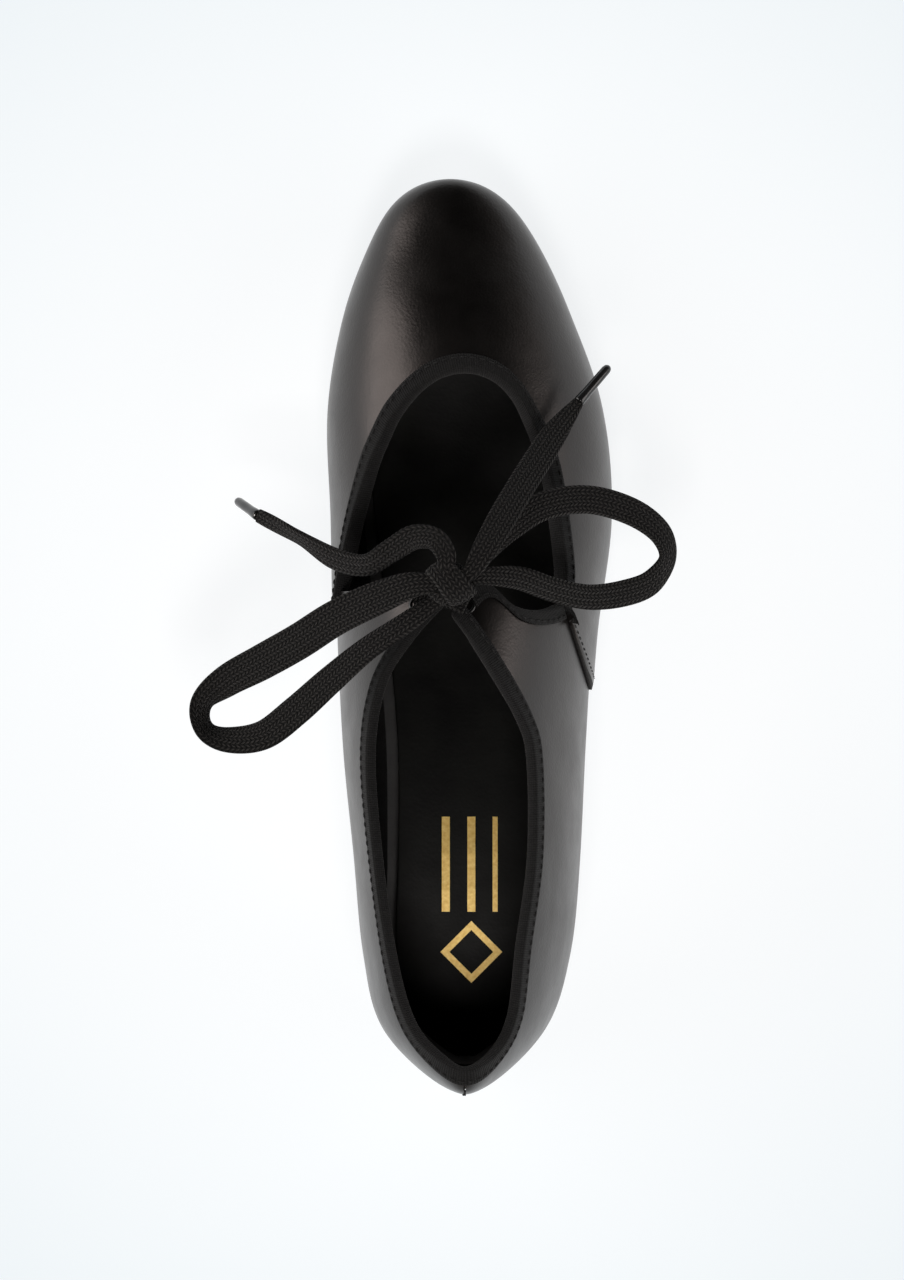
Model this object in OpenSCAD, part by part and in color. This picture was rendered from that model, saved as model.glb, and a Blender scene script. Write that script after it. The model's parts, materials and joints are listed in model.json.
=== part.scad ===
// Low-heeled tie tap shoe, right foot.
// +Y points to the toe, +X to the little-toe side, +Z up. The origin is on the floor,
// under the middle of the shoe. One hinge at the ball of the foot parts the two bodies.

/* [Shoe] */
// Length from the back of the heel to the toe tip
shoe_length = 250; // [240:1:260]
// Half width scale of the whole upper
width_scale = 1; // [0.96:0.01:1.04]
// Height of the seat (top of the outsole) over the floor at the heel
seat_height = 26; // [24:0.5:28]
// Height of the top of the outsole over the floor at the ball
ball_height = 7; // [7:0.1:7.6]
// How far the outsole lifts at the toe tip
toe_spring = 4.5; // [3:0.5:6]

/* [Sole and heel] */
// Thickness of the outsole
outsole_t = 3.6; // [3.2:0.1:3.6]
// Thickness of both taps
tap_t = 2.4; // [2:0.1:2.4]
// Thickness of the heel's top lift
lift_t = 5; // [4:0.5:6]
// Where the front face of the heel stands along Y
heel_breast_y = -70; // [-74:1:-66]
// Thickness of the filler layer under the insole
filler_t = 1.5; // [1.2:0.1:1.6]
// Thickness of the insole board
insole_t = 1.6; // [1.4:0.1:1.8]
// Thickness of the insock
insock_t = 1; // [0.8:0.1:1.2]

/* [Upper] */
// Thickness of the outer material
skin_t = 1.1; // [0.9:0.1:1.1]
// Thickness of the lining
lining_t = 0.7; // [0.6:0.1:0.8]
// Width of the edge binding on each face
binding_w = 4.2; // [3.8:0.1:4.6]
// Thickness of the edge binding
binding_t = 0.5; // [0.4:0.1:0.6]
// Depth from the widest line of the upper down to the outsole
bulge_h = 11; // [9:0.5:13]
// How far the upper tucks in from its widest line down to the outsole
bulge_in = 5; // [4:0.5:6]

/* [Ball flex] */
// Where the hinge line lies along Y
flex_y = 47; // [45:1:49]
// How far the forepart bends up, in degrees
flex_angle = 25; // [20:1:25]

/* [Lace] */
// Width of the flat lace, as a share of the widths in its routes
lace_width_scale = 1; // [0.9:0.05:1.05]
// Thickness of the flat lace
lace_t = 1.6; // [1.4:0.1:2]
// Diameter of the plastic tips
aglet_d = 3; // [2.8:0.1:3.4]
// Length of the plastic tips
aglet_l = 15; // [12:1:18]

/* [Hidden] */
$fn = 48;

reach = shoe_length / 2;
step = 15;                       // degrees between the stations of the tables below
// Stations run from the back of the heel (-90 degrees) to the toe tip (90 degrees).
half_medial = [42, 43.7, 47, 41.3, 37.2, 36.8, 37.5, 39.2, 43.3, 44, 44.8, 50.6, 56];
half_lateral = [42, 43.3, 46, 41.7, 36.8, 34.3, 35.2, 41, 44, 44, 46, 50.6, 56];
mid_x = [-1.2, -1.2, -1.1, -0.9, -0.5, -0.2, 0, -0.4, -1.5, -3.4, -4.7, -5.2, -5.3];
crest_h = [55, 56, 58, 60, 60, 59, 55, 48, 40, 33, 25, 20, 18];
round_medial = [3, 2.6, 2.5, 2.4, 2.1, 2, 2, 2, 2, 2.1, 2.2, 2.3, 2.4];
round_lateral = [3, 2.2, 1.7, 1.6, 1.6, 1.6, 1.7, 1.8, 1.9, 2.1, 2.2, 2.3, 2.4];
// How much more the sole tucks in than the toe and the heel do
waist_medial = [0, 0, 0, 1, 4, 7, 6, 3, 1, 0, 0, 0, 0];
waist_lateral = [0, 0, 0, 0.5, 1.5, 2.5, 2, 1, 0, 0, 0, 0, 0];
heel_full = 7;                   // squareness of the back of the heel, seen from the side
toe_full = 2;                    // and of the toe
spring_y = 100;                  // where the toe starts to lift
rise_from_y = 45;                // where the arch starts to rise from the ball
rise_to_y = -70;                 // and where it reaches the seat
tuck = 72;                       // degrees of arc between the widest line and the sole

// Edges of the upper in plan: [angle of the outline point, x, y of the edge point].
// Angle 0 is the toe tip, 180 the back of the heel, negative on the medial side.
vamp_rail = [
    [-88.7, -37, 7.8], [-86.6, -36.2, 13], [-84, -35, 19], [-76, -31.8, 32], [-68, -27.5, 45.5],
    [-60, -24.4, 52.5], [-50, -20.3, 60.2], [-36, -14.3, 66.9], [-19, -7.8, 71],
    [0, -0.3, 72.2], [19, 7.2, 70], [36, 13, 64.6], [50, 17, 57], [60, 19.7, 50.5],
    [68, 21.7, 44], [76, 24, 32], [84, 26, 17.5], [90, 25.3, 11], [97, 27.5, 4.5]
];
quarter_rail_medial = [
    [-180, -1.2, -117.2], [-164, -10.2, -113.2], [-148, -17.4, -104.6], [-133, -22.4, -88],
    [-118, -26.5, -62], [-105, -28.7, -33], [-98, -25.5, -13.5], [-92, -17.5, -1],
    [-84, -7.5, 9.5]
];
quarter_rail_lateral = [
    [180, -1.2, -117.2], [164, 7.2, -113.6], [148, 12.9, -103.7], [133, 15.2, -84],
    [118, 18.4, -60], [105, 18.2, -34], [99, 15, -22.5], [92, 5.5, -7.5], [86, -4.5, 5.5]
];
// Front edge of each tie tab, from the outline up to the end of the tab
tab_edge_medial = [
    [-37.6, 12.5], [-36.5, 11.8], [-33.5, 11.8], [-28, 12], [-21, 12.5], [-12, 15], [-7.5, 9.5]
];
tab_edge_lateral = [
    [36.5, 8.7], [34.5, 9.2], [29, 9.2], [21, 6.4], [13, 7.6], [4, 14], [-4.5, 5.5]
];
toe_k = 9;                       // index of the toe tip in vamp_rail
last_k = len(vamp_rail) - 1;
tab_start = 0.62;                // share of a quarter's length where its tab begins

// Depths under the outer face of the vamp
clear = 0.05;                    // free space between flat glued layers
layer_gap = 0.35;                // free space between curved layers
quarter_d = skin_t + 0.1;
vamp_lining_d = quarter_d + skin_t + layer_gap;
puff_t = 0.7;
counter_t = 0.9;
counter_d = vamp_lining_d;
quarter_lining_d = counter_d + counter_t + layer_gap;

flex_z = ball_height - outsole_t;
gap_angle = flex_angle / 2 + 1;
gap_y = 0.15;
inner_inset = bulge_in + quarter_lining_d + lining_t + 0.4;
sole_inset = 2.5;
board_t = ball_height - outsole_t - tap_t;

// ---- curves ----
function pick(v, i) = v[max(0, min(len(v) - 1, i))];
function ease(a, b, c, d, t) =
    0.5 * (2 * b + (c - a) * t + (2 * a - 5 * b + 4 * c - d) * t * t
           + (3 * b - a - 3 * c + d) * t * t * t);
function smooth(v, s) =
    let (i = max(0, min(len(v) - 2, floor(s))))
    ease(pick(v, i - 1), pick(v, i), pick(v, i + 1), pick(v, i + 2), s - i);
function lerp(a, b, t) = a * (1 - t) + b * t;
function unit(v) = v / norm(v);
function limit(v, low, high) = max(low, min(high, v));

// ---- the last: plan outline and height over the plan ----
function sole_z(y) =
    y > rise_from_y
    ? ball_height + toe_spring * pow(max(0, y - spring_y) / (reach - spring_y), 2)
    : let (t = limit((rise_from_y - y) / (rise_from_y - rise_to_y), 0, 1))
      ball_height + (seat_height - ball_height) * t * t * (3 - 2 * t);
function wide_z(y) = sole_z(y) + bulge_h;
function station(angle) = (90 - abs(angle)) / step + 90 / step;
function half_width(angle) =
    width_scale * sin(abs(angle))
    * smooth(angle < 0 ? half_medial : half_lateral, station(angle));
function rim(angle) =
    let (a = angle > 180 ? angle - 360 : angle < -180 ? angle + 360 : angle)
    [smooth(mid_x, station(a)) + sign(a) * half_width(a), reach * cos(a)];
function rim_out(angle) =
    let (t = unit(rim(angle + 0.5) - rim(angle - 0.5)))
    [-t.y, t.x];
function rim_in(angle, inset) = rim(angle) - inset * rim_out(angle);
function waist(angle) =
    let (a = angle > 180 ? angle - 360 : angle < -180 ? angle + 360 : angle)
    smooth(a < 0 ? waist_medial : waist_lateral, station(a));
// The outline at the level of the sole, inset from the outsole's outer line
function sole_in(angle, inset) = rim_in(angle, inset + waist(angle));
function dome_z(p) =
    let (a = acos(limit(p.y / reach, -1, 1)),
         s = station(a),
         side = p.x < smooth(mid_x, s),
         half = half_width(side ? -a : a),
         r = limit(abs(p.x - smooth(mid_x, s)) / max(half, 0.01), 0, 1),
         q = smooth(side ? round_medial : round_lateral, s),
         m = p.y < 0 ? heel_full : toe_full,
         end = pow(max(0, 1 - pow(abs(90 - a) / 90, m)), 1 / m))
    wide_z(p.y) + smooth(crest_h, s) * end * pow(max(0, 1 - pow(r, q)), 1 / q);

// A point of the upper: t is -1 at the outsole, 0 at the widest line and 1 at the edge.
function tucked(angle, t) =
    let (p = rim_in(angle, (bulge_in + waist(angle)) * (1 - cos(tuck * t)) / (1 - cos(tuck))))
    [p.x, p.y, wide_z(p.y) + bulge_h * sin(tuck * t) / sin(tuck)];
function domed(p) = [p.x, p.y, dome_z(p)];
function on_vamp(k, t) =
    let (e = smooth(vamp_rail, k))
    t <= 0 ? tucked(e[0], t) : domed(lerp(rim(e[0]), [e[1], e[2]], 1 - cos(90 * t)));
// The rail with its first step mirrored in front, so that it crosses the back seam squarely
function across_seam(rail) =
    concat([[2 * rail[0][0] - rail[1][0], 2 * rail[0].y - rail[1].y, rail[1].z]], rail);
function on_quarter(rail, tab, k, t) =
    let (e = smooth(across_seam(rail), k + 1),
         u = k / (len(rail) - 1),
         f = pow(max(0, (u - tab_start) / (1 - tab_start)), 2),
         s = 1 - cos(90 * max(0, t)),
         last = rail[len(rail) - 1],
         straight = lerp(rim(last[0]), [last[1], last[2]], s),
         bend = smooth(tab, max(0, t) * (len(tab) - 1)) - straight)
    t <= 0 ? tucked(e[0], t) : domed(lerp(rim(e[0]), [e[1], e[2]], s) + f * bend);

// ---- solids ----
function join(lists) = [for (l = lists) for (v = l) v];
function volume(pts, tris) =
    let (v = [for (f = tris) cross(pts[f[0]], pts[f[1]]) * pts[f[2]]])
    v * [for (x = v) 1];
function fine_cap(base, n) =
    join([for (j = [0 : n / 2 - 2])
        [[base + j, base + j + 1, base + n - 2 - j],
         [base + j, base + n - 2 - j, base + n - 1 - j]]]);
function flipped(tris) = [for (f = tris) [f[2], f[1], f[0]]];
// Joins closed rings of equal, even length into one solid
module loft(rings) {
    n = len(rings[0]);
    m = len(rings);
    pts = join(rings);
    sides = join([for (i = [0 : m - 2]) for (j = [0 : n - 1])
        let (a = i * n + j, b = i * n + (j + 1) % n)
        [[a, b, b + n], [a, b + n, a + n]]]);
    tris = concat(sides, flipped(fine_cap(0, n)), fine_cap((m - 1) * n, n));
    polyhedron(pts, volume(pts, tris) < 0 ? tris : flipped(tris));
}

// Point d under the outer face of a surface; side is -1 where k runs against the outline
function under(f, k, t, d, side) =
    let (e = 0.02,
         along = f(k + e, t) - f(k - e, t),
         up = f(k, t + e) - f(k, t - e))
    f(k, t) - d * side * unit(cross(up, along));
vamp = function (k, t, d) under(function (a, b) on_vamp(a, b), k, t, d, 1);
medial = function (k, t, d)
    under(function (a, b) on_quarter(quarter_rail_medial, tab_edge_medial, a, b), k, t, d, 1);
lateral = function (k, t, d)
    under(function (a, b) on_quarter(quarter_rail_lateral, tab_edge_lateral, a, b), k, t, d, -1);

low_rows = [-1, -0.7, -0.4, -0.15, 0];
wall_rows = concat(low_rows, [0.15, 0.3, 0.42, 0.53, 0.64, 0.75, 0.86, 1]);
// A layer of the upper between the indices first(t) and last(t), from depth d0 to depth d1
module layer(f, first, last, rows, columns, d0, d1) {
    loft([for (i = [0 : columns]) concat(
        [for (t = rows) f(lerp(first(t), last(t), i / columns), t, d0)],
        [for (j = [len(rows) - 1 : -1 : 0])
            f(lerp(first(rows[j]), last(rows[j]), i / columns), rows[j], d1)])]);
}
function always(k) = function (t) k;

// The V-shaped gap at the ball: way is -1 for its rear face and 1 for its front face
function gap_at(z, way) = flex_y + way * (gap_y + max(0, z - flex_z) * tan(gap_angle));
function find_gap(f, t, d, way, rear, front, n = 16) =
    let (m = (rear + front) / 2, p = f(m, t, d))
    n == 0 ? m
    : p.y > gap_at(p.z, way) ? find_gap(f, t, d, way, rear, m, n - 1)
    : find_gap(f, t, d, way, m, front, n - 1);
module vamp_front(f, rows, columns, d0, d1) {
    layer(f, function (t) find_gap(f, t, (d0 + d1) / 2, 1, 0, toe_k - 1),
          function (t) find_gap(f, t, (d0 + d1) / 2, 1, last_k, toe_k + 1),
          rows, columns, d0, d1);
}
// The rear part of the vamp on one side, from the index from_k forward to the gap
module vamp_back(f, from_k, front_k, rows, columns, d0, d1) {
    layer(f, always(from_k),
          function (t) find_gap(f, t, (d0 + d1) / 2, -1, from_k, front_k),
          rows, columns, d0, d1);
}

// ---- plates that follow the sole ----
slab_ys = [-124, -121, -117, -111, -103, -93, -82, -70, -60, -50, -40, -30, -20, -10, 0,
           10, 20, 30, 38, 56, 66, 76, 86, 95, 103, 110, 116, 120, 123];
function find_angle(y, inset, side, low = 0.5, high = 179.5, n = 18) =
    let (m = (low + high) / 2)
    n == 0 ? m
    : sole_in(side * m, inset).y > y ? find_angle(y, inset, side, m, high, n - 1)
    : find_angle(y, inset, side, low, m, n - 1);
function edge_x(y, inset, side) = sole_in(side * find_angle(y, inset, side), inset).x;
function plate_ring(y_low, y_high, inset, z0, z1) = [
    [edge_x(y_low, inset, -1), y_low, sole_z(y_low) + z0],
    [edge_x(y_high, inset, -1), y_high, sole_z(y_high) + z1],
    [edge_x(y_high, inset, 1), y_high, sole_z(y_high) + z1],
    [edge_x(y_low, inset, 1), y_low, sole_z(y_low) + z0]
];
module plate(y0, y1, inset, z0, z1, cut0 = false, cut1 = false) {
    ring_at = function (y, cut, way)
        cut ? plate_ring(gap_at(ball_height + z0, way), gap_at(ball_height + z1, way),
                         inset, z0, z1)
            : plate_ring(y, y, inset, z0, z1);
    loft(concat([ring_at(y0, cut0, 1)],
                [for (y = slab_ys) if (y > y0 + 1.5 && y < y1 - 1.5) plate_ring(y, y, inset, z0, z1)],
                [ring_at(y1, cut1, -1)]));
}
module rear_plate(inset, z0, z1, y0 = -1000) {
    plate(max(y0, inset + 0.4 - reach), flex_y, inset, z0, z1, cut1 = true);
}
module front_plate(inset, z0, z1) {
    plate(flex_y, reach - inset - 0.4, inset, z0, z1, cut0 = true);
}
filler_z = clear;
insole_z = filler_z + filler_t + clear;
insock_z = insole_z + insole_t + clear;

module outsole_rear() {
    color("dimgray") rear_plate(sole_inset, -outsole_t, 0);
}
module outsole_forepart() {
    color("dimgray") front_plate(sole_inset, -outsole_t, 0);
}
shank_w = 12;
shank_y = [-92, 22];
module bottom_filler_rear() {
    color("peru") plate(26, flex_y, inner_inset, filler_z, filler_z + filler_t, cut1 = true);
}
module bottom_filler_forepart() {
    color("peru") front_plate(inner_inset, filler_z, filler_z + filler_t);
}
function shank_ring(y) = [
    for (c = [[-1, 0], [-1, 1], [1, 1], [1, 0]])
        [c[0] * shank_w / 2, y, sole_z(y) + filler_z + c[1] * filler_t]
];
module shank() {
    color("silver") loft(concat(
        [shank_ring(shank_y[0])],
        [for (y = slab_ys) if (y > shank_y[0] + 1 && y < shank_y[1] - 1) shank_ring(y)],
        [shank_ring(shank_y[1])]));
}
rivet_ys = [-84, 15];
rivet_r = 2.5;
module shank_rivets() {
    color("silver") for (y = rivet_ys)
        translate([0, y, sole_z(y) + filler_z + filler_t - 0.6])
            cylinder(r = rivet_r, h = insole_t + 0.9);
}
module insole_rear() {
    color("tan") rear_plate(inner_inset, insole_z, insole_z + insole_t);
}
module insole_forepart() {
    color("tan") front_plate(inner_inset, insole_z, insole_z + insole_t);
}
pad_t = 1.2;
pad_front_y = -58;
module heel_pad() {
    color("khaki") plate(inner_inset + 4 - reach, pad_front_y, inner_inset + 3,
                         insock_z + 0.35, insock_z + 0.35 + pad_t);
}
module insock_rear() {
    color("black") rear_plate(inner_inset + 0.4, insock_z + pad_t + 0.45,
                              insock_z + pad_t + 0.45 + insock_t);
}
module insock_forepart() {
    color("black") front_plate(inner_inset + 0.4, insock_z, insock_z + insock_t);
}

// A plain foil ornament on the insock: three bars over a framed lozenge
foil_t = 0.15;
foil_bars = [[-6.5, 2.2, -50], [0.5, 2.2, -50], [7, 1.4, -50]];
foil_bar_end = -76;
foil_mark_y = -87;
function foil_ring(bar, y) =
    let (z = sole_z(y) + insock_z + pad_t + 0.45 + insock_t + 0.02)
    [[bar[0] - bar[1] / 2, y, z], [bar[0] - bar[1] / 2, y, z + foil_t],
     [bar[0] + bar[1] / 2, y, z + foil_t], [bar[0] + bar[1] / 2, y, z]];
module insock_foil() {
    color("goldenrod") {
        for (bar = foil_bars)
            loft([for (y = [foil_bar_end, -70, -60, bar[2]]) foil_ring(bar, y)]);
        translate([0.5, foil_mark_y, foil_ring(foil_bars[0], foil_mark_y)[0].z])
            linear_extrude(foil_t) difference() {
                rotate(45) square(12, center = true);
                rotate(45) square(8.5, center = true);
            }
    }
}

// ---- heel and taps ----
heel_inset = 4;
heel_top_z = seat_height - outsole_t - clear;
function heel_outline(inset, y1) = concat(
    [for (a = [find_angle(y1, inset, 1) : 6 : 180]) sole_in(a, inset)],
    [for (a = [-177 : 6 : -find_angle(y1, inset, -1)]) sole_in(a, inset)],
    [[edge_x(y1, inset, -1), y1]]);
module heel_slice(inset, y1, z0, z1) {
    translate([0, 0, z0]) linear_extrude(z1 - z0) polygon(heel_outline(inset, y1));
}
heel_tap_inset = 5;
heel_tap_y = -82;
heel_screws = [[-19, -92], [17, -92], [-12, -112], [10, -112]];
toe_screws = [[-24, 63], [22, 63], [-21, 90], [15, 91], [-4, 104]];
screw_r = 1.5;
screw_head_r = 2.6;
screw_head_h = 1.4;
module screw_at(p, length, z) {
    translate([p.x, p.y, z]) union() {
        cylinder(r1 = screw_head_r, r2 = screw_r, h = screw_head_h);
        cylinder(r = screw_r, h = length);
    }
}
module screw_hole(p, h) {
    translate([p.x, p.y, -0.1])
        cylinder(r1 = screw_head_r + 0.15, r2 = screw_r + 0.15, h = screw_head_h + 0.25);
    translate([p.x, p.y, -1]) cylinder(r = screw_r + 0.15, h = h);
}
heel_screw_l = 13;
toe_screw_l = ball_height - 1.2;
module heel_block() {
    color("black") difference() {
        heel_slice(heel_inset, heel_breast_y, tap_t + lift_t + clear, heel_top_z);
        for (p = heel_screws)
            translate([p.x, p.y, 0]) cylinder(r = screw_r + 0.1, h = heel_screw_l + 1.5);
    }
}
module heel_top_lift() {
    color("dimgray") difference() {
        heel_slice(heel_inset, heel_breast_y, tap_t, tap_t + lift_t);
        for (p = heel_screws)
            translate([p.x, p.y, 0]) cylinder(r = screw_r + 0.1, h = 20);
    }
}
module heel_tap() {
    color("gainsboro") difference() {
        heel_slice(heel_tap_inset, heel_tap_y, 0, tap_t);
        for (p = heel_screws) screw_hole(p, 10);
    }
}
module heel_tap_screws() {
    color("silver") for (p = heel_screws) screw_at(p, heel_screw_l, 0.1);
}
nail_at = [[-18, -88], [16, -88], [-10, -106], [8, -106], [-1, -97]];
module heel_nails() {
    color("silver") for (p = nail_at)
        translate([p.x, p.y, heel_top_z - 6]) union() {
            cylinder(r = 0.9, h = 6 + outsole_t + insole_z + insole_t);
            translate([0, 0, 6 + outsole_t + insole_z + insole_t]) cylinder(r = 2, h = 0.4);
        }
}
toe_tap_y = 54;
toe_tap_side = 7;                // inset of the tap at its sides
toe_tap_front = 9;               // and how much more at the toe
function tap_rim(a, grow) = rim_in(a, toe_tap_side - grow + toe_tap_front * pow(cos(a), 4));
module toe_slice(grow, z0, z1) {
    back = acos((toe_tap_y - grow) / reach);
    translate([0, 0, z0]) linear_extrude(z1 - z0) polygon(concat(
        [for (i = [0 : 24]) tap_rim(lerp(-back, back, i / 24), grow)]));
}
module toe_tap() {
    color("gainsboro") difference() {
        toe_slice(0, 0, tap_t);
        for (p = toe_screws) screw_hole(p, 10);
    }
}
module toe_tap_board() {
    color("saddlebrown") difference() {
        toe_slice(0.8, tap_t, tap_t + board_t - clear);
        for (p = toe_screws)
            translate([p.x, p.y, 0]) cylinder(r = screw_r + 0.1, h = 10);
    }
}
module toe_tap_screws() {
    color("silver") for (p = toe_screws) screw_at(p, toe_screw_l, 0.1);
}

// ---- upper ----
lining_rows = concat(low_rows, [0.25, 0.5, 0.75, 1]);
// A lining ends under the edge binding: its t runs from 0 to 1 between the widest line and there
function short_of(f) = function (k, t, d)
    let (run = norm(f(k, 1, 0) - f(k, 0.9, 0)) / 0.1)
    f(k, t > 0 ? t * (1 - (binding_w + 1.2) / run) : t, d);
vamp_in = short_of(vamp);
medial_in = short_of(medial);
lateral_in = short_of(lateral);
module vamp_forepart() {
    color("#1c1b1b") vamp_front(vamp, wall_rows, 30, 0, skin_t);
}
module vamp_wing_medial() {
    color("#1c1b1b") vamp_back(vamp, 0, toe_k - 1, wall_rows, 8, 0, skin_t);
}
module vamp_wing_lateral() {
    color("#1c1b1b") vamp_back(vamp, last_k, toe_k + 1, wall_rows, 8, 0, skin_t);
}
module vamp_lining_forepart() {
    color("#0c0c0c") vamp_front(vamp_in, lining_rows, 26, vamp_lining_d, vamp_lining_d + lining_t);
}
lining_from = 1.6;               // where the vamp lining starts, as an index of vamp_rail
module vamp_lining_wing_medial() {
    color("#0c0c0c") vamp_back(vamp_in, lining_from, toe_k - 1, lining_rows, 6,
                               vamp_lining_d, vamp_lining_d + lining_t);
}
module vamp_lining_wing_lateral() {
    color("#0c0c0c") vamp_back(vamp_in, last_k - lining_from, toe_k + 1, lining_rows, 6,
                               vamp_lining_d, vamp_lining_d + lining_t);
}
puff_rows = [-0.97, -0.7, -0.4, -0.15, 0, 0.15, 0.3, 0.45, 0.6];
puff_k = 2.6;
module toe_puff() {
    color("lightgray") layer(vamp, always(toe_k - puff_k), always(toe_k + puff_k), puff_rows,
                             18, skin_t + layer_gap, skin_t + layer_gap + puff_t);
}
quarter_n = len(quarter_rail_medial) - 1;
seam = 0.02;                     // half gap of the back seam, as an index of the rail
module quarter(f) {
    color("#1c1b1b")
        layer(f, always(seam), always(quarter_n), wall_rows, 26, quarter_d, quarter_d + skin_t);
}
module quarter_medial() {
    quarter(medial);
}
module quarter_lateral() {
    quarter(lateral);
}
module quarter_lining(f) {
    color("#0c0c0c") layer(f, always(seam), always(quarter_n - 1), lining_rows, 22,
                           quarter_lining_d, quarter_lining_d + lining_t);
}
module quarter_lining_medial() {
    quarter_lining(medial_in);
}
module quarter_lining_lateral() {
    quarter_lining(lateral_in);
}
counter_rows = [-0.97, -0.7, -0.4, -0.15, 0, 0.15, 0.3, 0.45];
counter_k = 3.4;                 // how far forward the counter reaches, as an index
module heel_counter() {
    both = function (k, t, d) k < 0 ? medial(-k, t, d) : lateral(k, t, d);
    color("lightgray") layer(both, always(-counter_k), always(counter_k), counter_rows, 20,
                             counter_d, counter_d + counter_t);
}

// ---- edge bindings: a folded tape round the wall, d0 and d1 its outer and inner depth ----
fold_gap = 0.12;
// p is a point of the edge, n the normal of its face and back the way into the material
function fold_ring(p, n, back, d0, d1) =
    let (place = function (m, d) p + back * m - n * d,
         a = d0 - fold_gap, b = d1 + fold_gap, end = -fold_gap)
    [place(binding_w, a - binding_t), place(end - binding_t, a - binding_t),
     place(end - binding_t, b + binding_t), place(binding_w, b + binding_t),
     place(binding_w, b), place(end, b), place(end, a), place(binding_w, a)];
function top_ring(f, k, d0, d1) =
    let (p = f(k, 1, 0))
    fold_ring(p, p - f(k, 1, 1), unit(f(k, 0.94, 0) - p), d0, d1);
module binding(f, ks, d0, d1) {
    color("#262628") loft([for (k = ks) top_ring(f, k, d0, d1)]);
}
function steps(a, b, n) = [for (i = [0 : n]) lerp(a, b, i / n)];
throat_d1 = vamp_lining_d + lining_t;
top_d1 = quarter_lining_d + lining_t;
throat_end = 2.0;                // where the throat binding starts beside the tab
throat_mid = throat_d1 / 2;
module throat_binding_forepart() {
    binding(vamp, steps(find_gap(vamp, 1, throat_mid, 1.06, 0, toe_k - 1),
                        find_gap(vamp, 1, throat_mid, 1.06, last_k, toe_k + 1), 24), 0, throat_d1);
}
module throat_binding_medial() {
    binding(vamp, steps(throat_end, find_gap(vamp, 1, throat_mid, -1.06, 0, toe_k - 1), 6),
            0, throat_d1);
}
module throat_binding_lateral() {
    binding(vamp, steps(last_k - throat_end,
                        find_gap(vamp, 1, throat_mid, -1.06, last_k, toe_k + 1), 6), 0, throat_d1);
}
top_last = quarter_n - 0.5;      // where the topline binding ends, beside the knot
module topline_binding() {
    both = function (k, t, d) k < 0 ? medial(-k, t, d) : lateral(k, t, d);
    color("#262628")
        loft([for (k = steps(-top_last, top_last, 48)) top_ring(both, k, quarter_d, top_d1)]);
}
// The tape along the front edge of a tab, from t = tab_ts[0] up
tab_ts = [0.53, 0.64, 0.75, 0.86];
function tab_ring(f, t) =
    let (p = f(quarter_n, t, 0))
    fold_ring(p, p - f(quarter_n, t, 1), unit(f(quarter_n - 0.15, t, 0) - p), quarter_d, top_d1);
module tab_binding(f) {
    color("#262628") loft([for (t = tab_ts) tab_ring(f, t)]);
}
module tab_binding_medial() {
    tab_binding(medial);
}
module tab_binding_lateral() {
    tab_binding(lateral);
}

// ---- eyelets and lace ----
eyelet_at = [[-15, 8.5], [-0.8, 8]];
eyelet_hole_r = 1.6;
function tilt_of(p) =
    let (e = 0.5)
    unit([dome_z(p - [e, 0]) - dome_z(p + [e, 0]), dome_z(p - [0, e]) - dome_z(p + [0, e]), 2 * e]);
module facing(n) {
    rotate([0, acos(n.z), atan2(n.y, n.x)]) children();
}
module eyelet(p) {
    color("silver") translate(domed(p)) facing(tilt_of(p)) rotate_extrude() polygon([
        [eyelet_hole_r, 0.4 - quarter_d], [2.7, 0.4 - quarter_d], [2.7, clear - quarter_d],
        [2.1, clear - quarter_d], [2.1, -top_d1 - 0.4], [eyelet_hole_r, -top_d1 - 0.4]]);
}
module eyelet_medial() {
    eyelet(eyelet_at[0]);
}
module eyelet_lateral() {
    eyelet(eyelet_at[1]);
}
// Routes of the lace: [x, y, z, width, tilt about its own direction]
loop_route_medial = [
    [-9, 13.5, 88, 4.5, 0], [-16, 13, 86.5, 7.2, 0], [-25, 9.6, 82, 9, 0], [-36, 4.4, 75, 9.6, 5],
    [-46, -1.9, 68, 9.8, 5], [-56, -7.5, 61, 9.8, 8], [-66, -13, 54.5, 9.4, 22],
    [-72.5, -19, 50.5, 8.6, 48], [-72, -25.5, 49.5, 8.4, 55], [-65.5, -28.4, 52, 8.4, 35],
    [-56, -27.2, 57, 8.6, 22], [-47, -20.6, 62.5, 8.6, 18], [-38, -12.6, 69, 8, 18],
    [-28, -4.2, 76, 6.8, 18], [-18, 2.5, 81, 6, 15], [-9.5, 8.5, 83, 4.5, 0]
];
loop_route_lateral = [
    [0.5, 18, 82.5, 4.5, 0], [5, 23, 80.5, 6, 0], [11, 29, 76.5, 7.4, 0], [20, 34.6, 71.5, 7.8, 4],
    [32, 36.4, 65, 7.8, 8], [44, 33.2, 58.5, 7.8, 15], [52, 27.5, 53.5, 7.6, 35],
    [54, 20.5, 51.5, 7.6, 55], [49.5, 14, 54, 7.8, 35], [42, 11, 58.5, 7.6, 20],
    [32, 9.9, 65, 7.2, 20], [22, 12, 72.5, 7, 22], [13, 15, 79.5, 6.4, 10], [3, 15.5, 85.5, 4.5, 0]
];
end_route_medial = [
    [-6, 17.5, 90.5, 4.5, 0], [-6.5, 21.5, 90, 5.5, -8], [-9.5, 25.5, 87.5, 6.4, -15],
    [-15, 26, 84, 6.8, -10], [-21, 22.5, 79.5, 6.6, 10], [-28, 18.5, 74, 6.4, 25],
    [-37, 20.4, 67, 6.8, 35], [-47, 26.4, 59, 6, 60], [-57.5, 32.2, 50, 3.8, 20]
];
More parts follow.
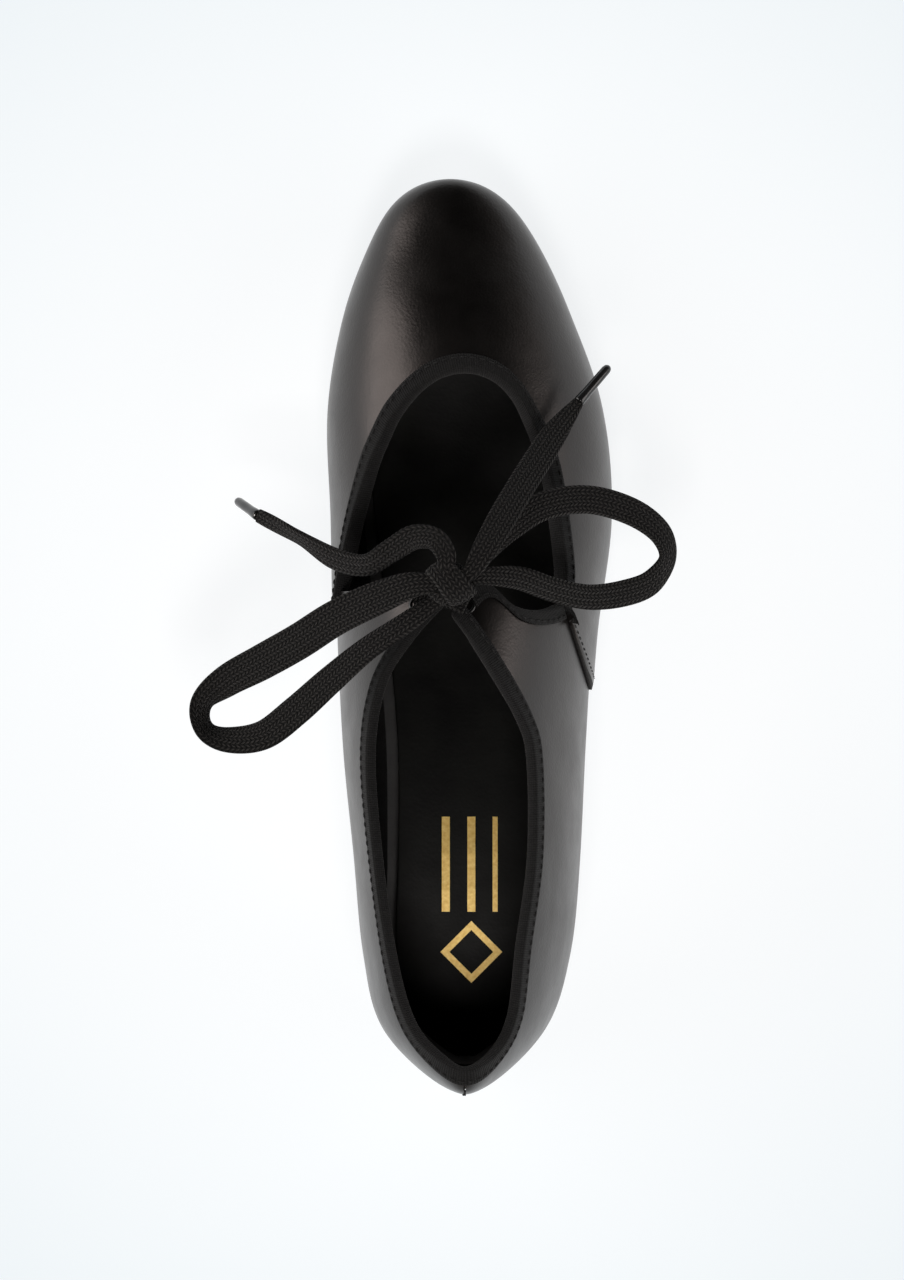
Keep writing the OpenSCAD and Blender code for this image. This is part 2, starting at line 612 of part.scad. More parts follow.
end_route_lateral = [
    [0, 16.5, 89.5, 4.5, 0], [3.5, 22, 88, 6.5, 0], [8, 30, 82.5, 7.6, 0],
    [13, 38.5, 75, 7.7, 0], [18, 46.5, 67, 7.7, 0], [23.5, 55, 58.5, 6.8, 0],
    [29.5, 63, 51.5, 3.2, 0]
];
aglet_tip_medial = [-63.5, 36.5];
aglet_tip_lateral = [38, 73];
knot_c = [-4.3, 13.2, 86];
knot_size = [12, 10.5, 10];
function frame_at(route, s) =
    let (p = smooth(route, s),
         q0 = smooth(route, max(0, s - 0.05)),
         q1 = smooth(route, min(len(route) - 1, s + 0.05)),
         ahead = unit([q1.x - q0.x, q1.y - q0.y, q1[2] - q0[2]]),
         flat = unit(cross(ahead, [0, 0, 1])),
         up = cross(flat, ahead),
         turn = p[4])
    [[p.x, p.y, p[2]], cos(turn) * flat + sin(turn) * up, cos(turn) * up - sin(turn) * flat, p[3]];
function tape_ring(f) =
    let (w = lace_width_scale * f[3] / 2, h = lace_t / 2)
    [for (c = [[-w, -h / 2], [-w, h / 2], [-w + h, h], [w - h, h],
               [w, h / 2], [w, -h / 2], [w - h, -h], [-w + h, -h]])
        f[0] + c[0] * f[1] + c[1] * f[2]];
module tape(route, rings) {
    color("#2a2a2c") loft([for (i = [0 : rings]) tape_ring(
        frame_at(route, (len(route) - 1) * i / rings))]);
}
module lace_loop_medial() {
    tape(loop_route_medial, 24);
}
module lace_loop_lateral() {
    tape(loop_route_lateral, 22);
}
module lace_end_medial() {
    tape(end_route_medial, 14);
}
module lace_end_lateral() {
    tape(end_route_lateral, 10);
}
module aglet(route, tip) {
    last = route[len(route) - 1];
    base = [last.x, last.y, last[2]];
    run = norm(tip - [last.x, last.y]);
    ahead = [tip.x - last.x, tip.y - last.y, -sqrt(max(0, aglet_l * aglet_l - run * run))];
    color("#101010") translate(base) facing(unit(ahead)) cylinder(d = aglet_d, h = aglet_l);
}
module aglet_medial() {
    aglet(end_route_medial, aglet_tip_medial);
}
module aglet_lateral() {
    aglet(end_route_lateral, aglet_tip_lateral);
}
module lace_knot() {
    color("#2a2a2c") loft([for (b = [-75 : 25 : 75]) [for (a = [0 : 45 : 315])
        knot_c + [knot_size.x / 2 * cos(b) * cos(a), knot_size.y / 2 * cos(b) * sin(a),
                  knot_size.z / 2 * sin(b)]]]);
}
bridge_lift = 1.3;               // height of the bridge's middle over the last
bridge_route = [for (p = [[-15, 8.5], [-11, 10], [-7.5, 10.5], [-4, 9.5], [-0.8, 8]])
    [p.x, p.y, dome_z(p) + bridge_lift, 5, 0]];
module lace_bridge() {
    tape(bridge_route, 5);
}

outsole_rear();
outsole_forepart();
heel_block();
heel_top_lift();
heel_tap();
heel_tap_screws();
heel_nails();
toe_tap();
toe_tap_board();
toe_tap_screws();
bottom_filler_rear();
bottom_filler_forepart();
shank();
shank_rivets();
insole_rear();
insole_forepart();
heel_pad();
insock_rear();
insock_forepart();
insock_foil();
heel_counter();
toe_puff();
quarter_medial();
quarter_lateral();
quarter_lining_medial();
quarter_lining_lateral();
vamp_forepart();
vamp_wing_medial();
vamp_wing_lateral();
vamp_lining_forepart();
vamp_lining_wing_medial();
vamp_lining_wing_lateral();
topline_binding();
tab_binding_medial();
tab_binding_lateral();
throat_binding_forepart();
throat_binding_medial();
throat_binding_lateral();
eyelet_medial();
eyelet_lateral();
lace_bridge();
lace_knot();
lace_loop_medial();
lace_loop_lateral();
lace_end_medial();
lace_end_lateral();
aglet_medial();
aglet_lateral();
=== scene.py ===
"""A black tie tap shoe for the right foot, seen from straight above.

The tables and formulas of the last are those of the CAD part, in millimetres, because this
script builds the smooth skins over the same shape. Every finished mesh is in metres.
"""

import json
import math

import bmesh
import bpy
import numpy as np
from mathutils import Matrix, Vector

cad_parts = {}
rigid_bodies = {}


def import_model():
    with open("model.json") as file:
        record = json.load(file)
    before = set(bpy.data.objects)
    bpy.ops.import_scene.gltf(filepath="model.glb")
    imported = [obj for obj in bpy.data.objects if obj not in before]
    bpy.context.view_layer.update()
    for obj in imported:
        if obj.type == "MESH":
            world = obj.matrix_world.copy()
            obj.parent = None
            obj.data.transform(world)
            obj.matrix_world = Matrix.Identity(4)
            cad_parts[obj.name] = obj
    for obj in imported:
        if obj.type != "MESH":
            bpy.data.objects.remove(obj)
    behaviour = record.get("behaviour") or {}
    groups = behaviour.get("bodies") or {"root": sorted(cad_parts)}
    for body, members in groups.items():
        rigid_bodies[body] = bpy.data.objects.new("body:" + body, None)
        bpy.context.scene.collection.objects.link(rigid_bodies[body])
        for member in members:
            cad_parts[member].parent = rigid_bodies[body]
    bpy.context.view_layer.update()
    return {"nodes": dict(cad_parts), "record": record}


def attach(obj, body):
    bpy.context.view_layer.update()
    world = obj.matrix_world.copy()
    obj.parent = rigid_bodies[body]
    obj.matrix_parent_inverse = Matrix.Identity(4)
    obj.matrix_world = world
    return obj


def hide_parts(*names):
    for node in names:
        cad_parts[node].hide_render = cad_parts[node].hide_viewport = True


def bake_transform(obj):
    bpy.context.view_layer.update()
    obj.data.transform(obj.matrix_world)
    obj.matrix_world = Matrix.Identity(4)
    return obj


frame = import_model()
scene = bpy.context.scene

MM = 0.001
RECORD = frame["record"]
JOINT = RECORD["behaviour"]["joints"][0]
REAR, FOREPART = JOINT["parent"], JOINT["child"]
FLEX_Y = JOINT["pos_m"][1]
FLEX_ZONE = 0.019                    # half the length of the zone at the ball, from BEND_START to BEND_END
FLEX_MIDDLE = FLEX_Y - 0.001
BEND_START = (0, FLEX_MIDDLE - FLEX_ZONE, 0)
BEND_END = (0, FLEX_MIDDLE + FLEX_ZONE, 0)

# ---- camera, light and floor
VIEW_WIDTH = 0.2477                  # what the picture's width covers at SIGHT_Z
VIEW_HEIGHT = VIEW_WIDTH * 1280 / 904
VIEW_CENTRE = (-0.0048, -0.0016)
SIGHT_Z = 0.03
CAMERA_UP = 2.6
SENSOR = 36                          # mm
WARM = (1, 0.95, 0.925)              # colour of the light and the walls
WALL_LIGHT, CEILING_LIGHT = 0.62, 0.0
WALL_TOP, CEILING_EDGE = 0.12, 0.66  # Z of the direction in which each starts
FRONT_WALL = 0.15                    # strength of the wall beyond the toe, the others' being 1
FRONT_FULL = 0.9                     # Y of the direction in which it has that strength
FLOOR_SIZE, FLOOR_Z = 3.0, -0.02     # m and mm
FLOOR_NEAR, FLOOR_FAR = 0.08, 0.24   # where its painted darkening and cooling towards the edges starts and ends, m


def add_camera():
    data = bpy.data.cameras.new("camera")
    data.sensor_fit = "AUTO"
    data.sensor_width = SENSOR
    data.lens = SENSOR * (CAMERA_UP - SIGHT_Z) / VIEW_HEIGHT
    data.clip_start = 0.05
    camera = bpy.data.objects.new("camera", data)
    camera.location = (*VIEW_CENTRE, CAMERA_UP)
    scene.collection.objects.link(camera)
    scene.camera = camera


def area_light(name, place, aim, size, power):
    """A rectangular light, its place and size in metres and its power in watts."""
    data = bpy.data.lights.new(name, "AREA")
    data.shape = "RECTANGLE"
    data.size, data.size_y = size
    data.energy = power
    data.color = WARM
    light = bpy.data.objects.new(name, data)
    light.location = place
    light.rotation_euler = (Vector(aim) - Vector(place)).to_track_quat("-Z", "Y").to_euler()
    scene.collection.objects.link(light)


def set_world():
    """A dark ceiling over bright walls, and a darker wall beyond the toe."""
    world = bpy.data.worlds.new("studio")
    scene.world = world
    world.use_nodes = True
    tree = world.node_tree
    background = tree.nodes["Background"]
    coordinate = tree.nodes.new("ShaderNodeTexCoord")
    split = tree.nodes.new("ShaderNodeSeparateXYZ")
    ramp = tree.nodes.new("ShaderNodeValToRGB")
    tree.links.new(coordinate.outputs["Generated"], split.inputs[0])
    tree.links.new(split.outputs["Z"], ramp.inputs["Fac"])
    tree.links.new(ramp.outputs["Color"], background.inputs["Color"])
    front = tree.nodes.new("ShaderNodeMapRange")
    front.inputs["From Max"].default_value = FRONT_FULL
    front.inputs["To Min"].default_value = 1
    front.inputs["To Max"].default_value = FRONT_WALL
    tree.links.new(split.outputs["Y"], front.inputs["Value"])
    tree.links.new(front.outputs[0], background.inputs["Strength"])
    stops = ramp.color_ramp.elements
    stops[0].position = WALL_TOP
    stops[0].color = (*[WALL_LIGHT * part for part in WARM], 1)
    stops[1].position = CEILING_EDGE
    stops[1].color = (CEILING_LIGHT, CEILING_LIGHT, CEILING_LIGHT, 1)
    ramp.color_ramp.interpolation = "EASE"


def add_studio():
    """Two low softboxes, one at each side, and a smaller light from above the heel."""
    add_camera()
    set_world()
    area_light("softbox_medial", (-0.95, 0.1, 0.4), (0, 0.02, 0.03), (1.4, 0.85), 13)
    area_light("softbox_lateral", (0.95, -0.14, 0.45), (0, -0.02, 0.03), (1.2, 0.7), 8)
    area_light("top", (0, -0.7, 1.65), (0, -0.03, 0.03), (0.5, 0.5), 16)
    scene.view_settings.view_transform = "Standard"
    scene.view_settings.look = "None"


# ---- the last, as in the CAD part
REACH = 125
STEP = 15
HALF_MEDIAL = [42, 43.7, 47, 41.3, 37.2, 36.8, 37.5, 39.2, 43.3, 44, 44.8, 50.6, 56]
HALF_LATERAL = [42, 43.3, 46, 41.7, 36.8, 34.3, 35.2, 41, 44, 44, 46, 50.6, 56]
MID_X = [-1.2, -1.2, -1.1, -0.9, -0.5, -0.2, 0, -0.4, -1.5, -3.4, -4.7, -5.2, -5.3]
CREST_H = [55, 56, 58, 60, 60, 59, 55, 48, 40, 33, 25, 20, 18]
ROUND_MEDIAL = [3, 2.6, 2.5, 2.4, 2.1, 2, 2, 2, 2, 2.1, 2.2, 2.3, 2.4]
ROUND_LATERAL = [3, 2.2, 1.7, 1.6, 1.6, 1.6, 1.7, 1.8, 1.9, 2.1, 2.2, 2.3, 2.4]
WAIST_MEDIAL = [0, 0, 0, 1, 4, 7, 6, 3, 1, 0, 0, 0, 0]
WAIST_LATERAL = [0, 0, 0, 0.5, 1.5, 2.5, 2, 1, 0, 0, 0, 0, 0]
HEEL_FULL, TOE_FULL = 7, 2
SEAT_Z, BALL_Z, TOE_SPRING = 26, 7, 4.5
SPRING_Y, RISE_FROM_Y, RISE_TO_Y = 100, 45, -70
BULGE_H, BULGE_IN, TUCK = 11, 5, 72
VAMP_RAIL = [
    [-88.7, -37, 7.8], [-86.6, -36.2, 13], [-84, -35, 19], [-76, -31.8, 32], [-68, -27.5, 45.5],
    [-60, -24.4, 52.5], [-50, -20.3, 60.2], [-36, -14.3, 66.9], [-19, -7.8, 71],
    [0, -0.3, 72.2], [19, 7.2, 70], [36, 13, 64.6], [50, 17, 57], [60, 19.7, 50.5],
    [68, 21.7, 44], [76, 24, 32], [84, 26, 17.5], [90, 25.3, 11], [97, 27.5, 4.5]]
QUARTER_RAIL = {
    -1: [[-180, -1.2, -117.2], [-164, -10.2, -113.2], [-148, -17.4, -104.6], [-133, -22.4, -88],
         [-118, -26.5, -62], [-105, -28.7, -33], [-98, -25.5, -13.5], [-92, -17.5, -1],
         [-84, -7.5, 9.5]],
    1: [[180, -1.2, -117.2], [164, 7.2, -113.6], [148, 12.9, -103.7], [133, 15.2, -84],
        [118, 18.4, -60], [105, 18.2, -34], [99, 15, -22.5], [92, 5.5, -7.5], [86, -4.5, 5.5]]}
TAB_EDGE = {
    -1: [[-37.6, 12.5], [-36.5, 11.8], [-33.5, 11.8], [-28, 12], [-21, 12.5], [-12, 15],
         [-7.5, 9.5]],
    1: [[36.5, 8.7], [34.5, 9.2], [29, 9.2], [21, 6.4], [13, 7.6], [4, 14], [-4.5, 5.5]]}
VAMP_K = len(VAMP_RAIL) - 1
QUARTER_K = len(QUARTER_RAIL[1]) - 1
TAB_START = 0.62
OUTSOLE_T, FILLER_T, INSOLE_T, INSOCK_T, PAD_T = 3.6, 1.5, 1.6, 1.0, 1.2
SKIN_T, LINING_T, CLEAR = 1.1, 0.7, 0.05
QUARTER_D = SKIN_T + 0.1
VAMP_LINING_D = QUARTER_D + SKIN_T + 0.35
QUARTER_LINING_D = VAMP_LINING_D + 1.25
BINDING_W, BINDING_T = 4.2, 0.5


def unit(v):
    return v / np.linalg.norm(v, axis=-1, keepdims=True)


def run_along(line):
    """The distance of each point from the start of the line."""
    steps = np.linalg.norm(np.diff(line, axis=0), axis=1)
    return np.concatenate([[0], np.cumsum(steps)])


def smooth(table, s):
    """A curve through the rows of table, one unit of s apart, at every value of the array s."""
    table = np.asarray(table, float)
    s = np.asarray(s, float)
    last = len(table) - 1
    i = np.clip(np.floor(s), 0, last - 1).astype(int)
    t = s - i
    if table.ndim == 2:
        t = t[..., None]
    a, b, c, d = (table[np.clip(i + n, 0, last)] for n in (-1, 0, 1, 2))
    return 0.5 * (2 * b + (c - a) * t + (2 * a - 5 * b + 4 * c - d) * t ** 2
                  + (3 * b - a - 3 * c + d) * t ** 3)


def sole_z(y):
    """Height of the outsole's upper face."""
    lift = np.maximum(0, y - SPRING_Y) / (REACH - SPRING_Y)
    t = np.clip((RISE_FROM_Y - y) / (RISE_FROM_Y - RISE_TO_Y), 0, 1)
    return BALL_Z + TOE_SPRING * lift ** 2 + (SEAT_Z - BALL_Z) * t * t * (3 - 2 * t)


def sin_d(a):
    return np.sin(np.radians(a))


def cos_d(a):
    return np.cos(np.radians(a))


def station(angle):
    """Place in the tables at an angle from the toe, whose rows run from heel to toe."""
    return (90 - np.abs(angle)) / STEP + 90 / STEP


def by_side(angle, medial, lateral):
    s = station(angle)
    return np.where(angle < 0, smooth(medial, s), smooth(lateral, s))


def wrapped(angle):
    return (np.asarray(angle, float) + 180) % 360 - 180


def rim(angle):
    """The outline of the last in plan."""
    a = wrapped(angle)
    half = sin_d(np.abs(a)) * by_side(a, HALF_MEDIAL, HALF_LATERAL)
    return np.stack([smooth(MID_X, station(a)) + np.sign(a) * half, REACH * cos_d(a)], -1)


def rim_in(angle, inset):
    """The outline moved inwards by inset."""
    t = unit(rim(np.asarray(angle) + 0.5) - rim(np.asarray(angle) - 0.5))
    out = np.stack([-t[..., 1], t[..., 0]], -1)
    return rim(angle) - np.asarray(inset)[..., None] * out


def waist(angle):
    return by_side(wrapped(angle), WAIST_MEDIAL, WAIST_LATERAL)


def sole_in(angle, inset):
    return rim_in(angle, inset + waist(angle))


def dome_z(p):
    """Height of the last's upper face over a point in plan."""
    x, y = p[..., 0], p[..., 1]
    a = np.degrees(np.arccos(np.clip(y / REACH, -1, 1)))
    s = station(a)
    mid = smooth(MID_X, s)
    half = sin_d(a) * np.where(x < mid, smooth(HALF_MEDIAL, s), smooth(HALF_LATERAL, s))
    r = np.clip(np.abs(x - mid) / np.maximum(half, 0.01), 0, 1)
    q = np.where(x < mid, smooth(ROUND_MEDIAL, s), smooth(ROUND_LATERAL, s))
    m = np.where(y < 0, HEEL_FULL, TOE_FULL)
    end = np.maximum(0, 1 - (np.abs(90 - a) / 90) ** m) ** (1 / m)
    return sole_z(y) + BULGE_H + smooth(CREST_H, s) * end * np.maximum(0, 1 - r ** q) ** (1 / q)


def upper_point(angle, t, plan):
    """Below t = 0 the wall tucks in to the sole, and above it follows the last at plan."""
    share = (1 - cos_d(TUCK * t)) / (1 - math.cos(math.radians(TUCK)))
    low = rim_in(angle, (BULGE_IN + waist(angle)) * share)
    low_z = sole_z(low[..., 1]) + BULGE_H * (1 + sin_d(TUCK * t) / math.sin(math.radians(TUCK)))
    below = (t <= 0)[..., None]
    return np.where(below, np.concatenate([low, low_z[..., None]], -1),
                    np.concatenate([plan, dome_z(plan)[..., None]], -1))


def on_vamp(k, t):
    """k runs along the vamp's rail from medial to lateral, and t from the sole up to it."""
    e = smooth(VAMP_RAIL, k)
    s = (1 - cos_d(90 * np.maximum(0, t)))[..., None]
    return upper_point(e[..., 0], t, rim(e[..., 0]) * (1 - s) + e[..., 1:] * s)


def on_quarter(side, k, t):
    """k runs from the heel to the tab's front, and t from the sole to the topline."""
    rail = np.array(QUARTER_RAIL[side], float)
    mirrored = [2 * rail[0, 0] - rail[1, 0], 2 * rail[0, 1] - rail[1, 1], rail[1, 2]]
    e = smooth(np.vstack([mirrored, rail]), k + 1)
    f = np.maximum(0, (k / QUARTER_K - TAB_START) / (1 - TAB_START)) ** 2
    up = np.maximum(0, t)
    s = (1 - cos_d(90 * up))[..., None]
    straight = rim(rail[-1, 0]) * (1 - s) + rail[-1, 1:] * s
    bend = smooth(TAB_EDGE[side], up * (len(TAB_EDGE[side]) - 1)) - straight
    return upper_point(e[..., 0], t,
                       rim(e[..., 0]) * (1 - s) + e[..., 1:] * s + f[..., None] * bend)


def under(surface, k, t, depth, side=-1):
    """Points at depth under a surface. side is 1 where k runs from the heel on the +X side."""
    k, t = np.broadcast_arrays(np.asarray(k, float), np.asarray(t, float))
    e = 0.02
    along = surface(k + e, t) - surface(k - e, t)
    up = surface(k, t + e) - surface(k, t - e)
    return surface(k, t) + unit(np.cross(up, along)) * np.asarray(depth)[..., None] * side


def vamp(k, t, depth):
    """The vamp's surface at a depth under its outer face."""
    return under(on_vamp, k, t, depth)


def quarter(side):
    """The outer surface of one side's quarter as a function of k, t and depth."""
    return lambda k, t, depth: under(lambda a, b: on_quarter(side, a, b), k, t, depth, side)


# ---- meshes
def new_object(name, points, faces, material, angle=50, uv=None):
    """A mesh of points in millimetres, smooth except along edges sharper than angle."""
    mesh = bpy.data.meshes.new(name)
    mesh.from_pydata((np.asarray(points, float).reshape(-1, 3) * MM).tolist(), [], faces)
    mesh.materials.append(material)
    if uv is not None:
        layer = mesh.uv_layers.new(name="length_and_width")
        corners = np.empty(len(mesh.loops), dtype=int)
        mesh.loops.foreach_get("vertex_index", corners)
        layer.data.foreach_set("uv", np.asarray(uv, np.float32)[corners].ravel())
    piece = bpy.data.objects.new(name, mesh)
    scene.collection.objects.link(piece)
    settle(mesh, angle)
    return piece


def settle(mesh, angle, merge=0):
    """Normals outwards and smooth shading, after merging points closer than merge metres."""
    work = bmesh.new()
    work.from_mesh(mesh)
    if merge:
        bmesh.ops.remove_doubles(work, verts=work.verts, dist=merge)
    bmesh.ops.recalc_face_normals(work, faces=work.faces)
    work.to_mesh(mesh)
    work.free()
    mesh.shade_smooth()
    mesh.set_sharp_from_angle(angle=math.radians(angle))


def loft_faces(count, size, closed=False):
    """Quads between closed rings of even size, with a strip of quads as each end cap."""
    faces = []
    for i in range(count if closed else count - 1):
        a, b = i * size, (i + 1) % count * size
        faces += [(a + j, a + (j + 1) % size, b + (j + 1) % size, b + j) for j in range(size)]
    if not closed:
        for base in (0, (count - 1) * size):
            for j in range(size // 2 - 1):
                faces.append((base + j, base + j + 1, base + size - 2 - j, base + size - 1 - j))
    return faces


def loft(name, rings, material, angle=50, closed=False, width=None):
    """A piece through rings of points. width gives each point's place across the piece in
    millimetres, for a material that needs it."""
    rings = np.asarray(rings, float)
    count, size = rings.shape[:2]
    uv = None
    if width is not None:
        along = np.repeat(run_along(rings.mean(axis=1)), size)
        uv = np.stack([along, np.broadcast_to(width, (count, size)).ravel()], -1)
    return new_object(name, rings, loft_faces(count, size, closed), material, angle, uv)


def join(name, pieces):
    """One object from several, which share one material each."""
    for piece in bpy.context.selected_objects:
        piece.select_set(False)
    for piece in pieces:
        piece.select_set(True)
    bpy.context.view_layer.objects.active = pieces[0]
    if len(pieces) > 1:
        bpy.ops.object.join()
    pieces[0].name = name
    pieces[0].data.name = name
    return pieces[0]


def finish_piece(piece, nodes=(), body=REAR):
    """What the piece rides on and replaces. body None: it rides on no body, with its transform
    baked in.
    """
    if body:
        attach(piece, body)
    else:
        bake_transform(piece)
    if nodes:
        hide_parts(*nodes)
    return piece


# ---- materials
class Value:
    """A number or vector in a node tree, with which a pattern is written as a formula."""

    def __init__(self, tree, socket):
        self.tree, self.socket = tree, socket

    def math(self, operation, *others):
        node = self.tree.nodes.new("ShaderNodeMath")
        node.operation = operation
        for place, value in enumerate((self, *others)):
            if isinstance(value, Value):
                self.tree.links.new(value.socket, node.inputs[place])
            else:
                node.inputs[place].default_value = value
        return Value(self.tree, node.outputs[0])

    def __add__(self, other):
        return self.math("ADD", other)

    def __sub__(self, other):
        return self.math("SUBTRACT", other)

    def __mul__(self, other):
        return self.math("MULTIPLY", other)

    def wave(self):
        """1 on whole numbers and 0 half way between them."""
        return (self * (2 * math.pi)).math("COSINE") * 0.5 + 0.5

    def hump(self):
        """An arch over each unit."""
        return (self.math("FRACT") * math.pi).math("SINE")

    def span(self, low, high, to_low=0.0, to_high=1.0):
        node = self.tree.nodes.new("ShaderNodeMapRange")
        self.tree.links.new(self.socket, node.inputs["Value"])
        for key, value in (("From Min", low), ("From Max", high), ("To Min", to_low),
                           ("To Max", to_high)):
            node.inputs[key].default_value = value
        return Value(self.tree, node.outputs[0])


class Finish:
    """A material with a Principled shader and the patterns that drive it."""

    def __init__(self, name, roughness=0.5, metallic=0.0, specular=0.5, **sockets):
        self.material = bpy.data.materials.new(name)
        self.material.use_nodes = True
        self.tree = self.material.node_tree
        self.shader = self.tree.nodes["Principled BSDF"]
        self.shader.inputs["Roughness"].default_value = roughness
        self.shader.inputs["Metallic"].default_value = metallic
        self.shader.inputs["Specular IOR Level"].default_value = specular
        for socket, value in sockets.items():
            self.shader.inputs[socket.replace("_", " ")].default_value = value
        self.coordinate = self.tree.nodes.new("ShaderNodeTexCoord")
        self.place = self.coordinate.outputs["Object"]

    def link(self, a, b):
        self.tree.links.new(a, b)

    def stretched(self, scale):
        """The place on the object, scaled along each axis."""
        node = self.tree.nodes.new("ShaderNodeMapping")
        node.inputs["Scale"].default_value = scale
        self.link(self.place, node.inputs["Vector"])
        return node.outputs[0]

    def noise(self, size, detail=3.0, rough=0.55, where=None, distortion=0.0):
        """Soft noise whose spots are about size metres across."""
        node = self.tree.nodes.new("ShaderNodeTexNoise")
        node.inputs["Scale"].default_value = 1 / size
        node.inputs["Detail"].default_value = detail
        node.inputs["Roughness"].default_value = rough
        node.inputs["Distortion"].default_value = distortion
        self.link(where or self.place, node.inputs["Vector"])
        return Value(self.tree, node.outputs["Fac"])

    def cells(self, size):
        """Pores about size metres apart."""
        node = self.tree.nodes.new("ShaderNodeTexVoronoi")
        node.inputs["Scale"].default_value = 1 / size
        self.link(self.place, node.inputs["Vector"])
        return Value(self.tree, node.outputs["Distance"])

    def axes(self, output="Object"):
        """The three parts of a coordinate, in metres, or in millimetres for UV."""
        node = self.tree.nodes.new("ShaderNodeSeparateXYZ")
        self.link(self.coordinate.outputs[output], node.inputs[0])
        return [Value(self.tree, node.outputs[axis]) for axis in range(3)]

    def colour(self, fac, stops):
        """Base colour from a ramp, with the place and colour of each stop."""
        node = self.tree.nodes.new("ShaderNodeValToRGB")
        elements = node.color_ramp.elements
        while len(elements) < len(stops):
            elements.new(0.5)
        for element, (position, rgb) in zip(elements, stops):
            element.position = position
            element.color = (*rgb, 1)
        self.link(fac.socket, node.inputs["Fac"])
        self.link(node.outputs["Color"], self.shader.inputs["Base Color"])

    def roughness(self, fac, low, high):
        """Roughness between low and high, as soft noise goes."""
        self.link(fac.span(0.3, 0.7, low, high).socket, self.shader.inputs["Roughness"])

    def bump(self, height, depth, strength=1.0, under=None):
        """Relief of depth metres; under is an earlier bump that it lies on."""
        node = self.tree.nodes.new("ShaderNodeBump")
        node.inputs["Distance"].default_value = depth
        node.inputs["Strength"].default_value = strength
        self.link(height.socket, node.inputs["Height"])
        if under is not None:
            self.link(under, node.inputs["Normal"])
        self.link(node.outputs[0], self.shader.inputs["Normal"])
        return node.outputs[0]


def grey(value, warm=0.0):
    """A grey, faintly red when warm."""
    return (value * (1 + warm), value, value * (1 - warm))


def leather_finish():
    """Coated leather: a satin face, a very fine grain and slow waves from lasting."""
    f = Finish("coated_leather", specular=0.5, Specular_Tint=(1, 0.9, 0.86, 1))
    f.colour(f.noise(0.018, 4), [(0.3, grey(0.001, 0.04)), (0.7, grey(0.0024, 0.05))])
    f.roughness(f.noise(0.012, 5, 0.6), 0.29, 0.37)
    waves = f.bump(f.noise(0.022, 2) + f.noise(0.007, 2) * 0.25, 0.0009, 0.3)
    pores = f.bump(f.cells(0.00075), 0.00007, 0.35, waves)
    f.bump(f.noise(0.0004, 3), 0.00004, 0.35, pores)
    return f.material


def edge_finish():
    f = Finish("cut_leather_edge", roughness=0.8, specular=0.25)
    f.colour(f.noise(0.0006, 4), [(0.3, grey(0.004)), (0.7, grey(0.012, 0.1))])
    f.bump(f.noise(0.0003, 4), 0.0001, 0.7)
    return f.material


WEAVE = 1600                         # threads of the lining per metre
RIB, RIB_COLUMN = 0.62, 0.5          # of the binding's weave, mm
COLUMN, SLANT, PICK = 1.0, 0.85, 1.35  # of the lace's weave, mm


def lining_finish():
    """Brushed textile with a fine square weave."""
    f = Finish("lining_textile", roughness=0.92, specular=0.2, Sheen_Weight=0.12,
               Sheen_Roughness=0.5)
    x, y, z = f.axes()
    weave = (x * WEAVE).wave() * (y * WEAVE + z * WEAVE).wave()
    f.colour(f.noise(0.004, 4), [(0.3, grey(0.003)), (0.7, grey(0.007))])
    soft = f.bump(f.noise(0.0011, 4), 0.0002, 0.5)
    f.bump(weave, 0.00012, 0.5, soft)
    return f.material


def binding_finish():
    """A woven tape: ribs across its length, broken into columns, and a little fuzz."""
    f = Finish("woven_binding", roughness=0.86, specular=0.15, Sheen_Weight=0.06,
               Sheen_Roughness=0.45)
    along, across, _ = f.axes("UV")
    ribs = (along * (1 / RIB)).hump() * ((across * (1 / RIB_COLUMN)).wave() * 0.45 + 0.55)
    # the colour follows the ribs: painted shade in the grooves and between the columns, over
    # random tone
    tone = ribs * 0.6 + f.noise(0.0012, 4) * 0.5
    f.colour(tone, [(0.25, grey(0.002)), (0.85, grey(0.011))])
    fuzz = f.bump(f.noise(0.0005, 4), 0.00012, 0.6)
    f.bump(ribs, 0.0002, 0.7, fuzz)
    return f.material


def lace_finish():
    """A flat braid: columns of slanting strands along the lace, leaning left and right in turn."""
    f = Finish("braided_lace", roughness=0.9, specular=0.12, Sheen_Weight=0.04,
               Sheen_Roughness=0.4)
    along, across, _ = f.axes("UV")
    drift = f.noise(0.0016, 2) * 0.5
    column = across * (1 / COLUMN)
    place = column.math("FRACT")
    leaning = (column * 0.5).math("FRACT").math("GREATER_THAN", 0.5)
    lean = place * leaning + (place * -1 + 1) * (leaning * -1 + 1)
    strand = (along * (1 / PICK) + lean * SLANT + drift).hump()
    braid = strand.math("POWER", 0.7) * (column.hump() * 0.6 + 0.4)
    fibre = f.noise(0.00022, 3)
    # the colour follows the braid: painted shade between the strands and at the columns' edges,
    # over the fibres' random tone
    f.colour(braid * 0.8 + fibre * 0.3, [(0.3, grey(0.0008)), (0.65, grey(0.006, 0.04)),
                                         (1.0, grey(0.03, 0.06))])
    thread = f.bump(fibre, 0.00008, 0.6)
    f.bump(braid, 0.0006, 1.0, thread)
    return f.material


def thread_finish():
    f = Finish("sewing_thread", roughness=0.75, specular=0.15)
    f.colour(f.noise(0.0008, 3), [(0.3, grey(0.006)), (0.7, grey(0.016))])
    f.bump(f.noise(0.0002, 2), 0.00006, 0.6)
    return f.material


